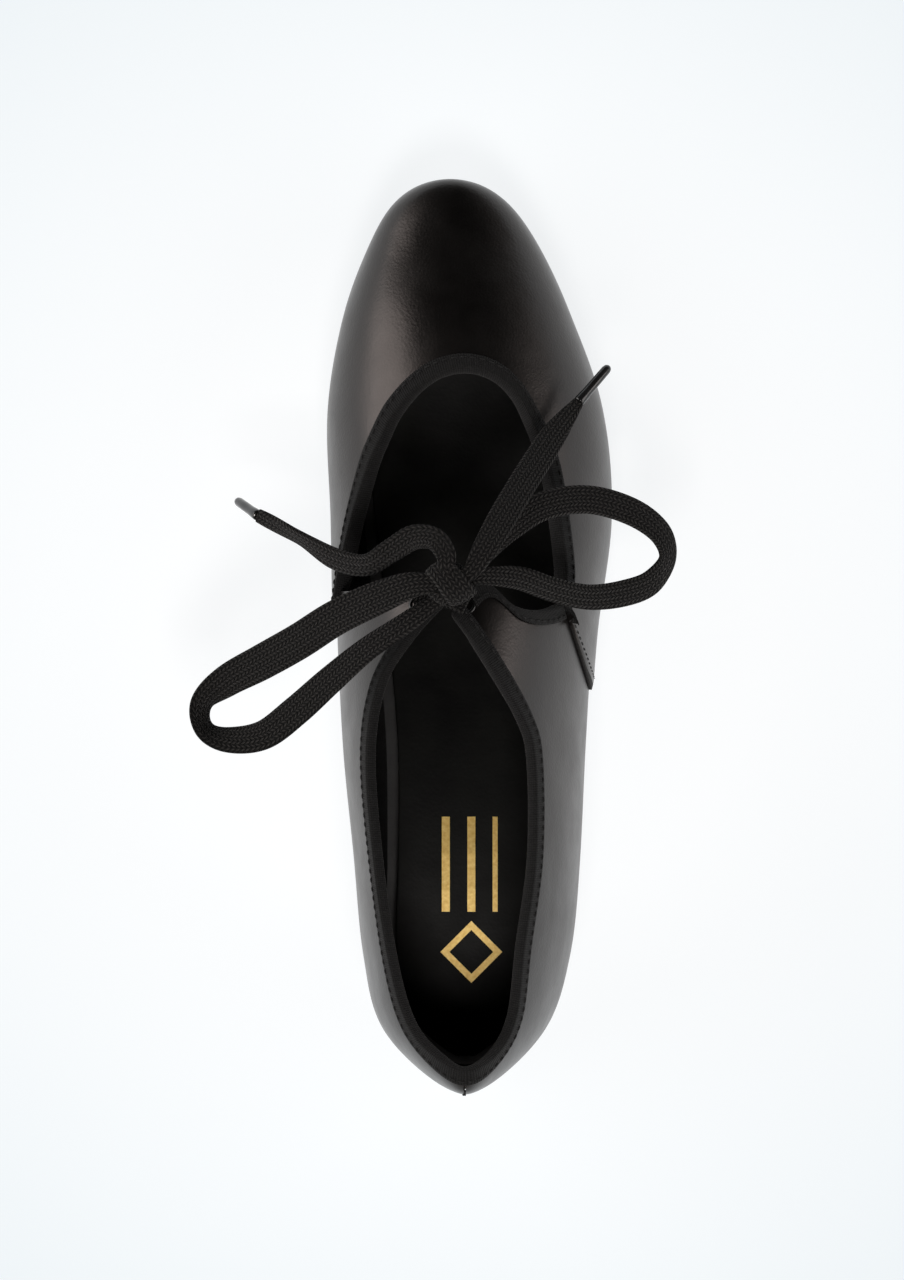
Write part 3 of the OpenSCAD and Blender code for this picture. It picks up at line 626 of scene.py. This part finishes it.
def insock_finish():
    """Thin coated insock, a little duller and paler in soft random patches."""
    f = Finish("insock_cover", specular=0.2)
    f.colour(f.noise(0.022, 5, 0.6), [(0.35, (0.001, 0.001, 0.001)),
                                      (0.75, (0.0065, 0.007, 0.0058))])
    f.roughness(f.noise(0.02, 4), 0.55, 0.7)
    folds = f.bump(f.noise(0.014, 3), 0.0008, 0.3)
    f.bump(f.cells(0.0009), 0.00008, 0.5, folds)
    return f.material


def foil_finish():
    f = Finish("gold_foil", metallic=0.35)
    f.colour(f.noise(0.0011, 4), [(0.3, (0.74, 0.47, 0.11)), (0.7, (0.93, 0.69, 0.24))])
    f.roughness(f.noise(0.002, 3), 0.36, 0.5)
    f.bump(f.noise(0.0006, 3), 0.00006, 0.6)
    return f.material


def board_finish(name, dark, light, size=0.0012):
    """Pressed board or cork, speckled in spots of size metres."""
    f = Finish(name, roughness=0.88, specular=0.2)
    f.colour(f.noise(size, 5, 0.7), [(0.3, dark), (0.7, light)])
    f.bump(f.noise(size / 2, 4), 0.0002, 0.6)
    return f.material


def plastic_finish(name, value, low, high, grain):
    """Scuffed black plastic, rubber or dressed leather, roughness low to high."""
    f = Finish(name, specular=0.45)
    f.colour(f.noise(0.009, 4), [(0.3, grey(value * 0.8)), (0.7, grey(value * 1.3))])
    f.roughness(f.noise(0.004, 5, 0.65), low, high)
    scuffs = f.bump(f.noise(0.006, 4, 0.7, f.stretched((1, 0.25, 2))), 0.0001, 0.35)
    f.bump(f.noise(grain, 3), grain / 12, 0.5, scuffs)
    return f.material


def metal_finish(name, value, low, high):
    """Buffed metal: fine lines along Y, a few stray scratches and a slightly uneven tone."""
    f = Finish(name, metallic=1.0)
    f.colour(f.noise(0.012, 4), [(0.3, grey(value * 0.88)), (0.7, grey(value))])
    lines = f.noise(0.0022, 4, 0.6, f.stretched((4, 0.25, 4)))
    stray = f.noise(0.003, 3, 0.7, f.stretched((0.5, 3, 1)), 1.5)
    f.roughness(lines * 0.6 + stray * 0.4, low, high)
    scored = f.bump(stray, 0.00008, 0.25)
    f.bump(lines, 0.00005, 0.3, scored)
    return f.material


def floor_finish():
    """Near-white paper that glows with painted light, and is painted darker and cooler away from
    the middle.
    """
    f = Finish("glowing_studio_floor", roughness=0.9, specular=0.05)
    x, y, _ = f.axes()
    far = (x * x + y * y).math("SQRT")
    # the lit colour is painted darker and bluer away from the middle: painted shade towards the
    # edges
    f.colour(far.span(FLOOR_NEAR, FLOOR_FAR), [(0.0, grey(0.24)), (1.0, (0.06, 0.092, 0.11))])
    # the glow is painted light: it fills in the shoe's cast shadow and lights the shoe from below
    f.shader.inputs["Emission Color"].default_value = (0.96, 0.985, 1, 1)
    f.shader.inputs["Emission Strength"].default_value = 0.81
    return f.material


# ---- shapes
def skin(name, surface, ks, ts, d0, d1, material):
    """A layer of even thickness: each ring runs up its outer face and down its inner one."""
    outer = surface(ks[:, None], ts[None, :], d0)
    inner = surface(ks[:, None], ts[None, ::-1], d1)
    return loft(name, np.concatenate([outer, inner], axis=1), material)


FOLD_GAP = 0.12                      # between the folded tape and what it wraps
FOLD_AT = 0.4                        # where the fold starts to turn, behind the edge
STITCH_BACK = 3.1                    # how far behind the edge the binding is sewn
PILLOW, PILLOW_AT, PILLOW_HALF = 0.16, 1.5, 2.6   # swelling of the tape over the edge
SEWN, SEWN_HALF = 0.2, 0.45          # how deep and wide the stitches pull it in
STITCH_LONG, STITCH_STEP, STITCH_R = 2.0, 2.6, 0.26
STITCH_HIGH, STITCH_DIP = 0.14, 0.42  # a stitch's middle over the face, and its ends' drop
STITCH_LEAN = 0.06
PLATE_END = 0.4                      # how far a plate's last ring is from its outline's end


def fold_section(d0, d1):
    """The folded tape: [way back from the edge, depth, way across the tape] of each point."""
    top, low = d0 - FOLD_GAP - BINDING_T / 2, d1 + FOLD_GAP + BINDING_T / 2
    back = np.linspace(BINDING_W, FOLD_AT, 14)
    turn = np.radians(np.linspace(90, -90, 13))[1:-1]
    reach, half = FOLD_AT + FOLD_GAP + BINDING_T / 2, (low - top) / 2
    middle = np.concatenate([
        np.stack([back, np.full_like(back, top)], -1),
        np.stack([FOLD_AT - reach * np.cos(turn), (top + low) / 2 - half * np.sin(turn)], -1),
        np.stack([back[::-1], np.full_like(back, low)], -1)])
    ahead = unit(np.gradient(middle, axis=0))
    out = np.stack([ahead[:, 1], -ahead[:, 0]], -1)
    m = middle[:, 0]
    pillow = PILLOW * np.clip(1 - ((m - PILLOW_AT) / PILLOW_HALF) ** 2, 0, 1)
    sewn = SEWN * np.exp(-((m - STITCH_BACK) / SEWN_HALF) ** 2)
    taper = np.ones(len(m))
    taper[[0, -1]] = 0.35
    taper[[1, -2]] = 0.8
    half_t = BINDING_T / 2
    outer = middle + out * (half_t * taper + pillow - sewn)[:, None]
    inner = middle - out * (half_t * taper)[:, None]
    along = run_along(middle)
    return np.concatenate([outer, inner[::-1]]), np.concatenate([along, along[::-1]])


def with_normals(surface, k, t, depth=0):
    """Points at depth under a surface, and the unit normals there."""
    p = surface(k, t, depth)
    return p, unit(p - surface(k, t, depth + 1))


def edge_frame(surface, ks):
    """Points of an upper edge, the unit normal there and the unit way down from it."""
    top = np.ones_like(ks)
    p, n = with_normals(surface, ks, top)
    return p, n, unit(surface(ks, top - 0.06, 0) - p)


def binding(name, p, n, back, d0, d1, material):
    """d1 is a depth, or one for each point of the edge."""
    sections = [fold_section(d0, inner) for inner in np.broadcast_to(d1, len(p))]
    section = np.stack([points for points, _ in sections])
    across = np.stack([places for _, places in sections])
    rings = p[:, None] + back[:, None] * section[..., :1] - n[:, None] * section[..., 1:]
    return loft(name, rings, material, width=across)


def resample(line, *others, step):
    """Evenly spaced points along a line, and what goes with each of them."""
    run = run_along(line)
    places = np.arange(step / 2, run[-1], step)
    return [np.stack([np.interp(places, run, a[:, i]) for i in range(a.shape[1])], -1)
            for a in (line, *others)]


def stitch_row(name, line, normal, material, long=STITCH_LONG, step=STITCH_STEP, r=STITCH_R):
    """Stitches along a line on a face: each rises out of its hole and dips into the next."""
    line, normal = resample(line, normal, step=step)
    normal = unit(normal)
    ahead = unit(np.gradient(line, axis=0))
    side = unit(np.cross(normal, ahead))
    points, faces = [], []
    places = np.linspace(-1, 1, 7)
    thick = np.array([0.35, 0.8, 1, 1.05, 1, 0.8, 0.35])
    turns = np.radians(np.arange(0, 360, 60))
    for i in range(len(line)):
        base = len(points)
        lean = STITCH_LEAN * math.sin(i * 2.4)
        for place, wide in zip(places, thick):
            middle = (line[i] + ahead[i] * place * long / 2 + side[i] * place * lean
                      + normal[i] * (STITCH_HIGH - STITCH_DIP * place ** 4))
            for turn in turns:
                points.append(middle + r * wide * (math.cos(turn) * side[i]
                                                   + math.sin(turn) * normal[i]))
        faces += [tuple(base + v for v in face) for face in loft_faces(len(places), 6)]
    return new_object(name, points, faces, material)


def edge_x(y, inset, side):
    """Where the sole's outline, moved in by inset, crosses y."""
    angles = np.linspace(179.6, 0.4, 1200)
    line = sole_in(side * angles, np.full_like(angles, inset))
    return np.interp(y, line[:, 1], line[:, 0])


def plate(name, count, inset, foot, thick, material, r=0.5, columns=25, crown=np.zeros_like):
    """A sheet over the sole's curve with rounded edges. Its lower face is foot(y) over the
    sole, and crown(u) is added to both faces, with u from -1 to 1 across it."""
    u = np.linspace(-1, 1, columns)
    bump = crown(np.concatenate([[-1, -1], u, [1, 1]]))
    rise = np.concatenate([[1, 0.3], np.zeros(columns), [0.3, 1]])
    rings = []
    for y in end_spaced(inset + PLATE_END - REACH, REACH - inset - PLATE_END, count):
        left, right = edge_x(y, inset, -1), edge_x(y, inset, 1)
        ins = np.minimum(np.array([0, 0.3, 1.0]) * r, (right - left) / 2 - 0.05)
        inner = left + ins[-1] + (u + 1) / 2 * (right - left - 2 * ins[-1])
        xs = np.concatenate([left + ins[:2], inner, right - ins[1::-1]])
        low, high = sole_z(y) + foot(y), sole_z(y) + (foot(y) + thick)
        turn = rise * min(r, (high - low) / 2)
        ring = [np.stack([xs, np.full_like(xs, y), z], -1)
                for z in (low + turn + bump, high - turn + bump)]
        rings.append(np.concatenate([ring[0], ring[1][::-1]]))
    return loft(name, rings, material, angle=70)


def end_spaced(low, high, count):
    """Values from low to high that crowd at both ends."""
    return (low + high) / 2 - (high - low) / 2 * cos_d(np.linspace(0, 180, count))


def lathe(name, profile, place, axis, material, turns=32, angle=40):
    """profile: [distance from the axis, height along it]. Both ends are on the axis, or the
    line is closed, for a ring."""
    axis = np.asarray(axis, float) / np.linalg.norm(axis)
    helper = np.array([1.0, 0, 0]) if abs(axis[0]) < 0.8 else np.array([0, 1.0, 0])
    side = unit(np.cross(axis, helper))
    other = np.cross(axis, side)
    turn = np.radians(np.arange(turns) * 360 / turns)
    out = np.cos(turn)[:, None] * side + np.sin(turn)[:, None] * other
    points, faces = [], []
    count = len(profile)
    for r, h in profile:
        points += list(np.asarray(place) + out * r + axis * h)
    for i in range(count):
        if i == count - 1 and profile[0][0] == 0:
            break
        a, b = i * turns, (i + 1) % count * turns
        for j in range(turns):
            k = (j + 1) % turns
            faces.append((a + j, a + k, b + k, b + j))
    piece = new_object(name, points, faces, material, angle)
    settle(piece.data, angle, merge=1e-7)
    return piece


# ---- lace
LACE_T, LACE_STEP, LACE_CURL, WRAP_CURL = 1.6, 0.6, 0.35, 0.75
UV_SHIFT = 20                        # keeps the weave's columns above 0
# The routes of the CAD part: [x, y, z, width, tilt about its own direction in degrees]
LOOP_MEDIAL = [
    [-9, 13.5, 88, 4.5, 0], [-16, 13, 86.5, 7.2, 0], [-25, 9.6, 82, 9, 0],
    [-36, 4.4, 75, 9.6, 5], [-46, -1.9, 68, 9.8, 5], [-56, -7.5, 61, 9.8, 8],
    [-66, -13, 54.5, 9.4, 22], [-72.5, -19, 50.5, 8.6, 48], [-72, -25.5, 49.5, 8.4, 55],
    [-65.5, -28.4, 52, 8.4, 35], [-56, -27.2, 57, 8.6, 22], [-47, -20.6, 62.5, 8.6, 18],
    [-38, -12.6, 69, 8, 18], [-28, -4.2, 76, 6.8, 18], [-18, 2.5, 81, 6, 15],
    [-9.5, 8.5, 83, 4.5, 0]]
LOOP_LATERAL = [
    [0.5, 18, 82.5, 4.5, 0], [5, 23, 80.5, 6, 0], [11, 29, 76.5, 7.4, 0],
    [20, 34.6, 71.5, 7.8, 4], [32, 36.4, 65, 7.8, 8], [44, 33.2, 58.5, 7.8, 15],
    [52, 27.5, 53.5, 7.6, 35], [54, 20.5, 51.5, 7.6, 55], [49.5, 14, 54, 7.8, 35],
    [42, 11, 58.5, 7.6, 20], [32, 9.9, 65, 7.2, 20], [22, 12, 72.5, 7, 22],
    [13, 15, 79.5, 6.4, 10], [3, 15.5, 85.5, 4.5, 0]]
END_MEDIAL = [
    [-6, 17.5, 90.5, 4.5, 0], [-6.5, 21.5, 90, 5.5, -8], [-9.5, 25.5, 87.5, 6.4, -15],
    [-15, 26, 84, 6.8, -10], [-21, 22.5, 79.5, 6.6, 10], [-28, 18.5, 74, 6.4, 25],
    [-37, 20.4, 67, 6.8, 35], [-47, 26.4, 59, 6, 60], [-57.5, 32.2, 50, 3.8, 20]]
END_LATERAL = [
    [0, 16.5, 89.5, 4.5, 0], [3.5, 22, 88, 6.5, 0], [8, 30, 82.5, 7.6, 0],
    [13, 38.5, 75, 7.7, 0], [18, 46.5, 67, 7.7, 0], [23.5, 55, 58.5, 6.8, 0],
    [29.5, 63, 51.5, 3.2, 0]]
IN_KNOT_MEDIAL = [[-3.5, 12.5, 84.5, 4.5, 0], [-3, 14.5, 87.5, 4.5, 0]]
IN_KNOT_LATERAL = [[-3.5, 14.5, 86.5, 4.5, 0], [-4, 15, 88, 4.5, 0]]
AGLET_TIP_MEDIAL, AGLET_TIP_LATERAL = (-63.5, 36.5), (38, 73)
AGLET_D, AGLET_L = 3.0, 15.0
KNOT = np.array([-4.3, 13.2, 86])
EYELETS = {"medial": (-15, 8.5), "lateral": (-0.8, 8)}
BRIDGE = [(-15, 8.5), (-11, 10), (-7.5, 10.5), (-4, 9.5), (-0.8, 8)]
BRIDGE_LIFT, BRIDGE_W = 1.3, 6.4


def tape_frames(route):
    """Points along a route, the ways across the tape and out of its face, and its width."""
    rows = smooth(route, np.linspace(0, len(route) - 1, 40 * len(route)))
    run = run_along(rows[:, :3])
    places = np.linspace(0, run[-1], int(run[-1] / LACE_STEP) + 1)
    rows = np.stack([np.interp(places, run, rows[:, i]) for i in range(5)], -1)
    ahead = unit(np.gradient(rows[:, :3], axis=0))
    flat = unit(np.cross(ahead, (0, 0, 1)))
    up = np.cross(flat, ahead)
    c, s = cos_d(rows[:, 4:]), sin_d(rows[:, 4:])
    return rows[:, :3], c * flat + s * up, c * up - s * flat, rows[:, 3]


def tape_section():
    """A flat woven tape: thick rounded selvedges and a slightly crowned middle, as the
    points' places across and out of the face, in half widths and half thicknesses."""
    angle = np.radians(np.arange(22) * 360 / 22)
    x = np.sign(np.cos(angle)) * np.abs(np.cos(angle)) ** 0.55
    z = np.sign(np.sin(angle)) * np.abs(np.sin(angle)) ** 0.7
    return x, z * (0.86 + 0.14 * np.cos(x * math.pi * 2))


def tape(name, route, material):
    """A lace along a route, its edges curled down a little, and its centreline."""
    middle, flat, up, width = tape_frames(route)
    x, z = tape_section()
    across = x[None, :] * width[:, None] / 2
    out = z[None, :] * LACE_T / 2 - LACE_CURL * (x[None, :] ** 2) * (width[:, None] / 8)
    rings = (middle[:, None] + flat[:, None] * across[..., None]
             + up[:, None] * out[..., None])
    return loft(name, rings, material, angle=80, width=across + UV_SHIFT), middle


def aglet(name, route, tip, material):
    """A moulded tip that grips the lace: a bevelled mouth, a slim waist and a round nose."""
    base = np.array(route[-1][:3], float)
    run = math.dist(tip, base[:2])
    ahead = np.array([tip[0] - base[0], tip[1] - base[1],
                      -math.sqrt(max(0, AGLET_L ** 2 - run ** 2))])
    r, l = AGLET_D / 2, AGLET_L
    profile = [(0, 0.05), (r * 0.8, 0), (r * 0.97, 0.25), (r, 0.7), (r * 0.97, 3),
               (r * 0.9, 4.2), (r * 0.88, 8), (r * 0.86, l - 1.6), (r * 0.74, l - 0.7),
               (r * 0.42, l - 0.15), (0, l)]
    return lathe(name, profile, base, ahead, material, turns=28, angle=60)


def wrap(name, centre, radii, width, turn, tilt, material):
    """One turn of lace round the knot: an uneven ellipse in an upright plane."""
    a = np.radians(np.arange(0, 360, 4.5))
    c, s = math.cos(math.radians(turn)), math.sin(math.radians(turn))
    way, axis, high = np.array([-s, c, 0]), np.array([c, s, 0]), np.array([0, 0, 1.0])
    lean = math.tan(math.radians(tilt))
    bump = 1 + 0.3 * 0.06 * np.sin(3 * a + 1)
    middle = (centre + way * (radii[0] * np.cos(a) * bump)[:, None]
              + high * (radii[1] * np.sin(a) * bump)[:, None]
              + axis * (lean * radii[0] * np.cos(a))[:, None])
    out = unit(way * (np.cos(a) / radii[0])[:, None] + high * (np.sin(a) / radii[1])[:, None])
    ahead = unit(np.roll(middle, -1, axis=0) - np.roll(middle, 1, axis=0))
    flat = unit(np.cross(ahead, out))
    x, z = tape_section()
    wide = width * (1 - 0.12 * np.sin(a + 0.6) ** 2)
    across = x[None, :] * wide[:, None] / 2
    face = z[None, :] * LACE_T / 2 - WRAP_CURL * x[None, :] ** 2
    rings = (middle[:, None] + flat[:, None] * across[..., None] + out[:, None] * face[..., None])
    return loft(name, rings, material, angle=80, closed=True, width=across + UV_SHIFT)


def add_lace(lace, plastic):
    for side, loop, inside, end, tip in (
            ("medial", LOOP_MEDIAL, IN_KNOT_MEDIAL, END_MEDIAL, AGLET_TIP_MEDIAL),
            ("lateral", LOOP_LATERAL, IN_KNOT_LATERAL, END_LATERAL, AGLET_TIP_LATERAL)):
        cord, path = tape(f"lace_{side}", loop + inside + end, lace)
        end_piece = aglet(f"tip_{side}", end, tip, plastic)
        finish_piece(cord, [f"lace_loop_{side}", f"lace_end_{side}"])
        finish_piece(end_piece, [f"aglet_{side}"])
        path[0] * MM
        path * MM
    low = KNOT - (0, 0, 1.2)
    finish_piece(join("knot", [
        wrap("knot_over", KNOT + (-0.7, 0.7, 0.2), (6.0, 4.6), 8.6, 28, -8, lace),
        wrap("knot_under", low + (-1.2, 0.2, -0.4), (5.6, 3.4), 7.6, -42, 8, lace)]),
        ["lace_knot"])
    rows = [[x, y, float(dome_z(np.array([x, y], float))) + BRIDGE_LIFT, BRIDGE_W, 0]
            for x, y in BRIDGE]
    bar, _ = tape("lace_bar", rows, lace)
    finish_piece(bar, ["lace_bridge"])


# ---- upper
WALL = np.concatenate([np.linspace(-1, 0, 16)[:-1], np.linspace(0, 1, 30)])
THROAT_D1 = VAMP_LINING_D + LINING_T
TOP_D1 = QUARTER_LINING_D + LINING_T
TOP_THIN = 1.5                       # how much closer the lining lies at the sewn top edge
EDGE_D1 = TOP_D1 - TOP_THIN
THROAT_ENDS = (0.25, VAMP_K - 0.25)
THROAT_LAPS = [0.9, 1.5, VAMP_K - 1.1, VAMP_K - 0.6]   # where the vamp meets the quarters
TOP_LAST = QUARTER_K + 0.1           # the topline's binding runs on under the knot
TAB_TS = (0.4, 0.9)
LINING_SHORT = BINDING_W - 1.2       # how far under the binding the lining ends
SEAM_BAND = 1.7                      # width of the side seam's dark edge, mm
SKIVE, SKIVE_LONG = 0.5, 3.2         # how much the vamp is thinned at its rear edges, over mm
BACK_K = 0.012                       # k of the back seam


def short_of(surface):
    """The same surface with its t ending under the edge binding, as the lining does."""
    def inner(k, t, depth):
        k, t = np.broadcast_arrays(np.asarray(k, float), np.asarray(t, float))
        one = np.ones_like(k)
        run = np.linalg.norm(surface(k, one, 0) - surface(k, one * 0.9, 0), axis=-1) / 0.1
        return surface(k, np.where(t > 0, t * (1 - LINING_SHORT / run), t), depth)
    return inner


def lining_depth(t, extra):
    """The lining's depth: pressed close to the quarter where they are sewn together."""
    rise = np.clip((t - 0.45) / 0.4, 0, 1)
    return QUARTER_LINING_D + extra - TOP_THIN * rise * rise * (3 - 2 * rise)


def both_quarters(k, t, depth):
    """The medial quarter where k is below 0 and the lateral one above."""
    k, t = np.broadcast_arrays(np.asarray(k, float), np.asarray(t, float))
    left = quarter(-1)(np.abs(k), t, depth)
    right = quarter(1)(np.abs(k), t, depth)
    return np.where((k < 0)[..., None], left, right)


def add_vamp(leather, lining, tape_cloth, edge, thread):
    ks = np.concatenate([np.linspace(0, 1, 16)[:-1], np.linspace(1, VAMP_K - 1, 232),
                         np.linspace(VAMP_K - 1, VAMP_K, 26)[1:]])
    thinned = np.interp(ks, [0, 0.5, VAMP_K - 0.22, VAMP_K], [SKIVE, 0, 0, SKIVE])
    finish_piece(skin("vamp", vamp, ks, WALL, thinned[:, None], SKIN_T, leather),
                 ["vamp_forepart", "vamp_wing_medial", "vamp_wing_lateral"], None)
    ks = np.linspace(1.4, VAMP_K - 1.4, 150)
    finish_piece(skin("vamp_inside", short_of(vamp), ks, WALL[::2], VAMP_LINING_D,
                      VAMP_LINING_D + LINING_T, lining),
                 ["vamp_lining_forepart", "vamp_lining_wing_medial", "vamp_lining_wing_lateral"],
                 None)
    ks = np.linspace(*THROAT_ENDS, 330)
    p, n, back = edge_frame(vamp, ks)
    # over the quarters the tape wraps the vamp alone
    deep = np.interp(ks, THROAT_LAPS, [SKIN_T, THROAT_D1, THROAT_D1, SKIN_T])
    finish_piece(binding("throat_binding", p, n, back, 0, deep, tape_cloth),
                 ["throat_binding_forepart", "throat_binding_medial", "throat_binding_lateral"],
                 None)
    line = p + back * STITCH_BACK + n * (FOLD_GAP + BINDING_T)
    finish_piece(stitch_row("throat_stitches", line, n, thread), body=None)
    bands, rows = [], []
    for start, way in ((0, 1), (VAMP_K, -1)):
        ts = np.linspace(-0.97, 0.93, 60)
        p, n = with_normals(vamp, np.full_like(ts, start), ts)
        inward = unit(vamp(np.full_like(ts, start + 0.08 * way), ts, 0) - p)
        far = SKIVE * (1 - SEAM_BAND / SKIVE_LONG)
        section = [(-0.06, 1.12), (-0.1, 0.85), (-0.08, SKIVE - 0.03), (0.1, SKIVE - 0.12),
                   (SEAM_BAND - 0.2, far - 0.1), (SEAM_BAND, far - 0.02),
                   (SEAM_BAND, far + 0.12), (0.1, SKIVE + 0.1), (0.03, SKIVE + 0.3), (0.03, 1.12)]
        rings = np.stack([p + inward * m - n * d for m, d in section], 1)
        bands.append(loft("band", rings, edge, angle=60))
        rows.append(stitch_row("row", p + inward * (SEAM_BAND + 1.5), n, thread, 1.7, 2.3, 0.11))
    finish_piece(join("side_seam_edges", bands))
    finish_piece(join("side_seam_stitches", rows))


def add_quarters(leather, lining, tape_cloth, thread):
    seams, stitch_d = [], QUARTER_D - FOLD_GAP - BINDING_T
    for side, word in ((-1, "medial"), (1, "lateral")):
        wall = quarter(side)
        ks = np.linspace(BACK_K, QUARTER_K, 200)
        finish_piece(skin(f"quarter_side_{word}", wall, ks, WALL, QUARTER_D,
                          QUARTER_D + SKIN_T, leather), [f"quarter_{word}"])
        ks = np.linspace(0.005, QUARTER_K - 0.6, 130)
        rows = np.broadcast_to(WALL[::2], (len(ks), len(WALL[::2])))
        finish_piece(skin(f"quarter_inside_{word}", short_of(wall), ks, WALL[::2],
                          lining_depth(rows, 0), lining_depth(rows[:, ::-1], LINING_T), lining),
                     [f"quarter_lining_{word}"])
        ts = np.linspace(*TAB_TS, 80)
        k = np.full_like(ts, QUARTER_K)
        p, n = with_normals(wall, k, ts)
        back = unit(wall(k - 0.15, ts, 0) - p)
        finish_piece(binding(f"tab_edge_{word}", p, n, back, QUARTER_D, EDGE_D1, tape_cloth),
                     [f"tab_binding_{word}"])
        seams.append(stitch_row("row", p + back * STITCH_BACK - n * stitch_d, n, thread))
    ks = np.linspace(-TOP_LAST, TOP_LAST, 420)
    p, n, back = edge_frame(both_quarters, ks)
    finish_piece(binding("topline_edge", p, n, back, QUARTER_D, EDGE_D1, tape_cloth),
                 ["topline_binding"])
    seams.append(stitch_row("row", p + back * STITCH_BACK - n * stitch_d, n, thread))
    finish_piece(join("topline_stitches", seams))
    # the back seam is closed with stitches that lean from side to side
    ts = np.linspace(-0.95, 0.95, 70)
    p, n = with_normals(quarter(1), np.full_like(ts, BACK_K), ts, QUARTER_D)
    p[:, 0] += 0.5 * np.sin(ts * 110)
    finish_piece(stitch_row("back_stitches", p - (0.3, 0, 0) + n * 0.1, n, thread, 1.9, 2.1,
                            0.22))


EYELET_R = 1.85


def add_eyelets(metal):
    """A short tube through the tab, rolled over on the outside."""
    for word, place in EYELETS.items():
        xy = np.array(place, float)
        slope = [float(dome_z(xy - d) - dome_z(xy + d)) for d in np.eye(2) / 2]
        axis = unit(np.array([*slope, 1.0]))
        centre = np.array([*xy, float(dome_z(xy))])
        roll = [(EYELET_R + 0.45 * math.cos(a), -QUARTER_D + 0.24 + 0.28 * math.sin(a))
                for a in np.radians(np.arange(-60, 210, 30))]
        profile = roll + [(1.4, -QUARTER_D - 0.4), (1.4, -TOP_D1 - 0.3), (1.75, -TOP_D1 - 0.4),
                          (EYELET_R, -TOP_D1 - 0.2), (EYELET_R, -QUARTER_D - 0.2)]
        finish_piece(lathe(f"eyelet_ring_{word}", profile, centre, axis, metal, 28),
                     [f"eyelet_{word}"])


# ---- sole, insock and heel
SOLE_INSET = 2.5
INNER_INSET = BULGE_IN + QUARTER_LINING_D + LINING_T + 0.4 - 0.9  # ends under the lining
INSOCK_Z = CLEAR * 3 + FILLER_T + INSOLE_T
REAR_LIFT = PAD_T + 0.45
PAD_FROM_Y, PAD_TO_Y = -46, 24       # where the insock comes down from the heel pad
CURL_UP = 0.45                       # of the insock's edge


def add_sole(sole, insock):
    finish_piece(plate("outsole", 140, SOLE_INSET, lambda y: -OUTSOLE_T, OUTSOLE_T, sole, r=0.9),
                 ["outsole_rear", "outsole_forepart"], None)

    def foot(y):
        """The insock lies higher at the heel, over its pad."""
        t = np.clip((y - PAD_FROM_Y) / (PAD_TO_Y - PAD_FROM_Y), 0, 1)
        return INSOCK_Z + REAR_LIFT * (1 - t * t * (3 - 2 * t))

    def crown(u):
        """Pressed down where the foot stands and curling up at the wall."""
        return CURL_UP * np.abs(u) ** 5

    finish_piece(plate("insock", 130, INNER_INSET, foot, INSOCK_T, insock, r=0.4, columns=33,
                       crown=crown), ["insock_rear", "insock_forepart"], None)


def bevelled(name, width, angle):
    """Rounded edges on a CAD node, whose faces come unjoined at their edges."""
    piece = frame["nodes"][name]
    normals = piece.data.attributes.get("custom_normal")
    if normals:
        piece.data.attributes.remove(normals)
    piece.data.shade_smooth()
    piece.modifiers.new("weld", "WELD").merge_threshold = 1e-6
    bevel = piece.modifiers.new("bevel", "BEVEL")
    bevel.width = width
    bevel.segments = 2
    bevel.limit_method = "ANGLE"
    bevel.angle_limit = math.radians(angle)
    bevel.harden_normals = True


def paint(nodes, material):
    for name in nodes:
        mesh = frame["nodes"][name].data
        mesh.materials.clear()
        mesh.materials.append(material)


def add_floor():
    half = FLOOR_SIZE / 2 / MM
    points = [(x, y, FLOOR_Z) for y in (-half, half) for x in (-half, half)]
    floor = new_object("floor", points, [(0, 1, 3, 2)], floor_finish())


# ---- the scene
add_studio()
add_lace(lace_finish(), plastic_finish("lace_tip_plastic", 0.006, 0.06, 0.16, 0.0006))
LEATHER, LINING, TAPE = leather_finish(), lining_finish(), binding_finish()
THREAD = thread_finish()
add_vamp(LEATHER, LINING, TAPE, edge_finish(), THREAD)
add_quarters(LEATHER, LINING, TAPE, THREAD)
add_eyelets(metal_finish("eyelet_metal", 0.05, 0.25, 0.4))
add_sole(plastic_finish("sole_leather", 0.02, 0.5, 0.75, 0.0008), insock_finish())
for material, names in (
        (metal_finish("tap_metal", 0.78, 0.2, 0.42), ["heel_tap", "toe_tap"]),
        (metal_finish("screw_steel", 0.55, 0.25, 0.4),
         ["heel_tap_screws", "toe_tap_screws", "heel_nails", "shank", "shank_rivets"]),
        (plastic_finish("heel_shell", 0.01, 0.35, 0.5, 0.0009), ["heel_block"]),
        (plastic_finish("lift_rubber", 0.014, 0.7, 0.9, 0.0006), ["heel_top_lift"]),
        (board_finish("tap_board", (0.10, 0.055, 0.03), (0.22, 0.13, 0.075)), ["toe_tap_board"]),
        (board_finish("pressed_board", (0.32, 0.24, 0.15), (0.48, 0.38, 0.26)),
         ["insole_rear", "insole_forepart", "heel_counter", "toe_puff"]),
        (board_finish("cork", (0.25, 0.16, 0.08), (0.45, 0.33, 0.2), 0.002),
         ["bottom_filler_rear", "bottom_filler_forepart", "heel_pad"]),
        (foil_finish(), ["insock_foil"])):
    paint(names, material)
for name, width, angle in (("heel_tap", 0.0004, 40), ("toe_tap", 0.0004, 40),
                           ("heel_block", 0.0005, 50), ("heel_top_lift", 0.0005, 50)):
    bevelled(name, width, angle)
add_floor()
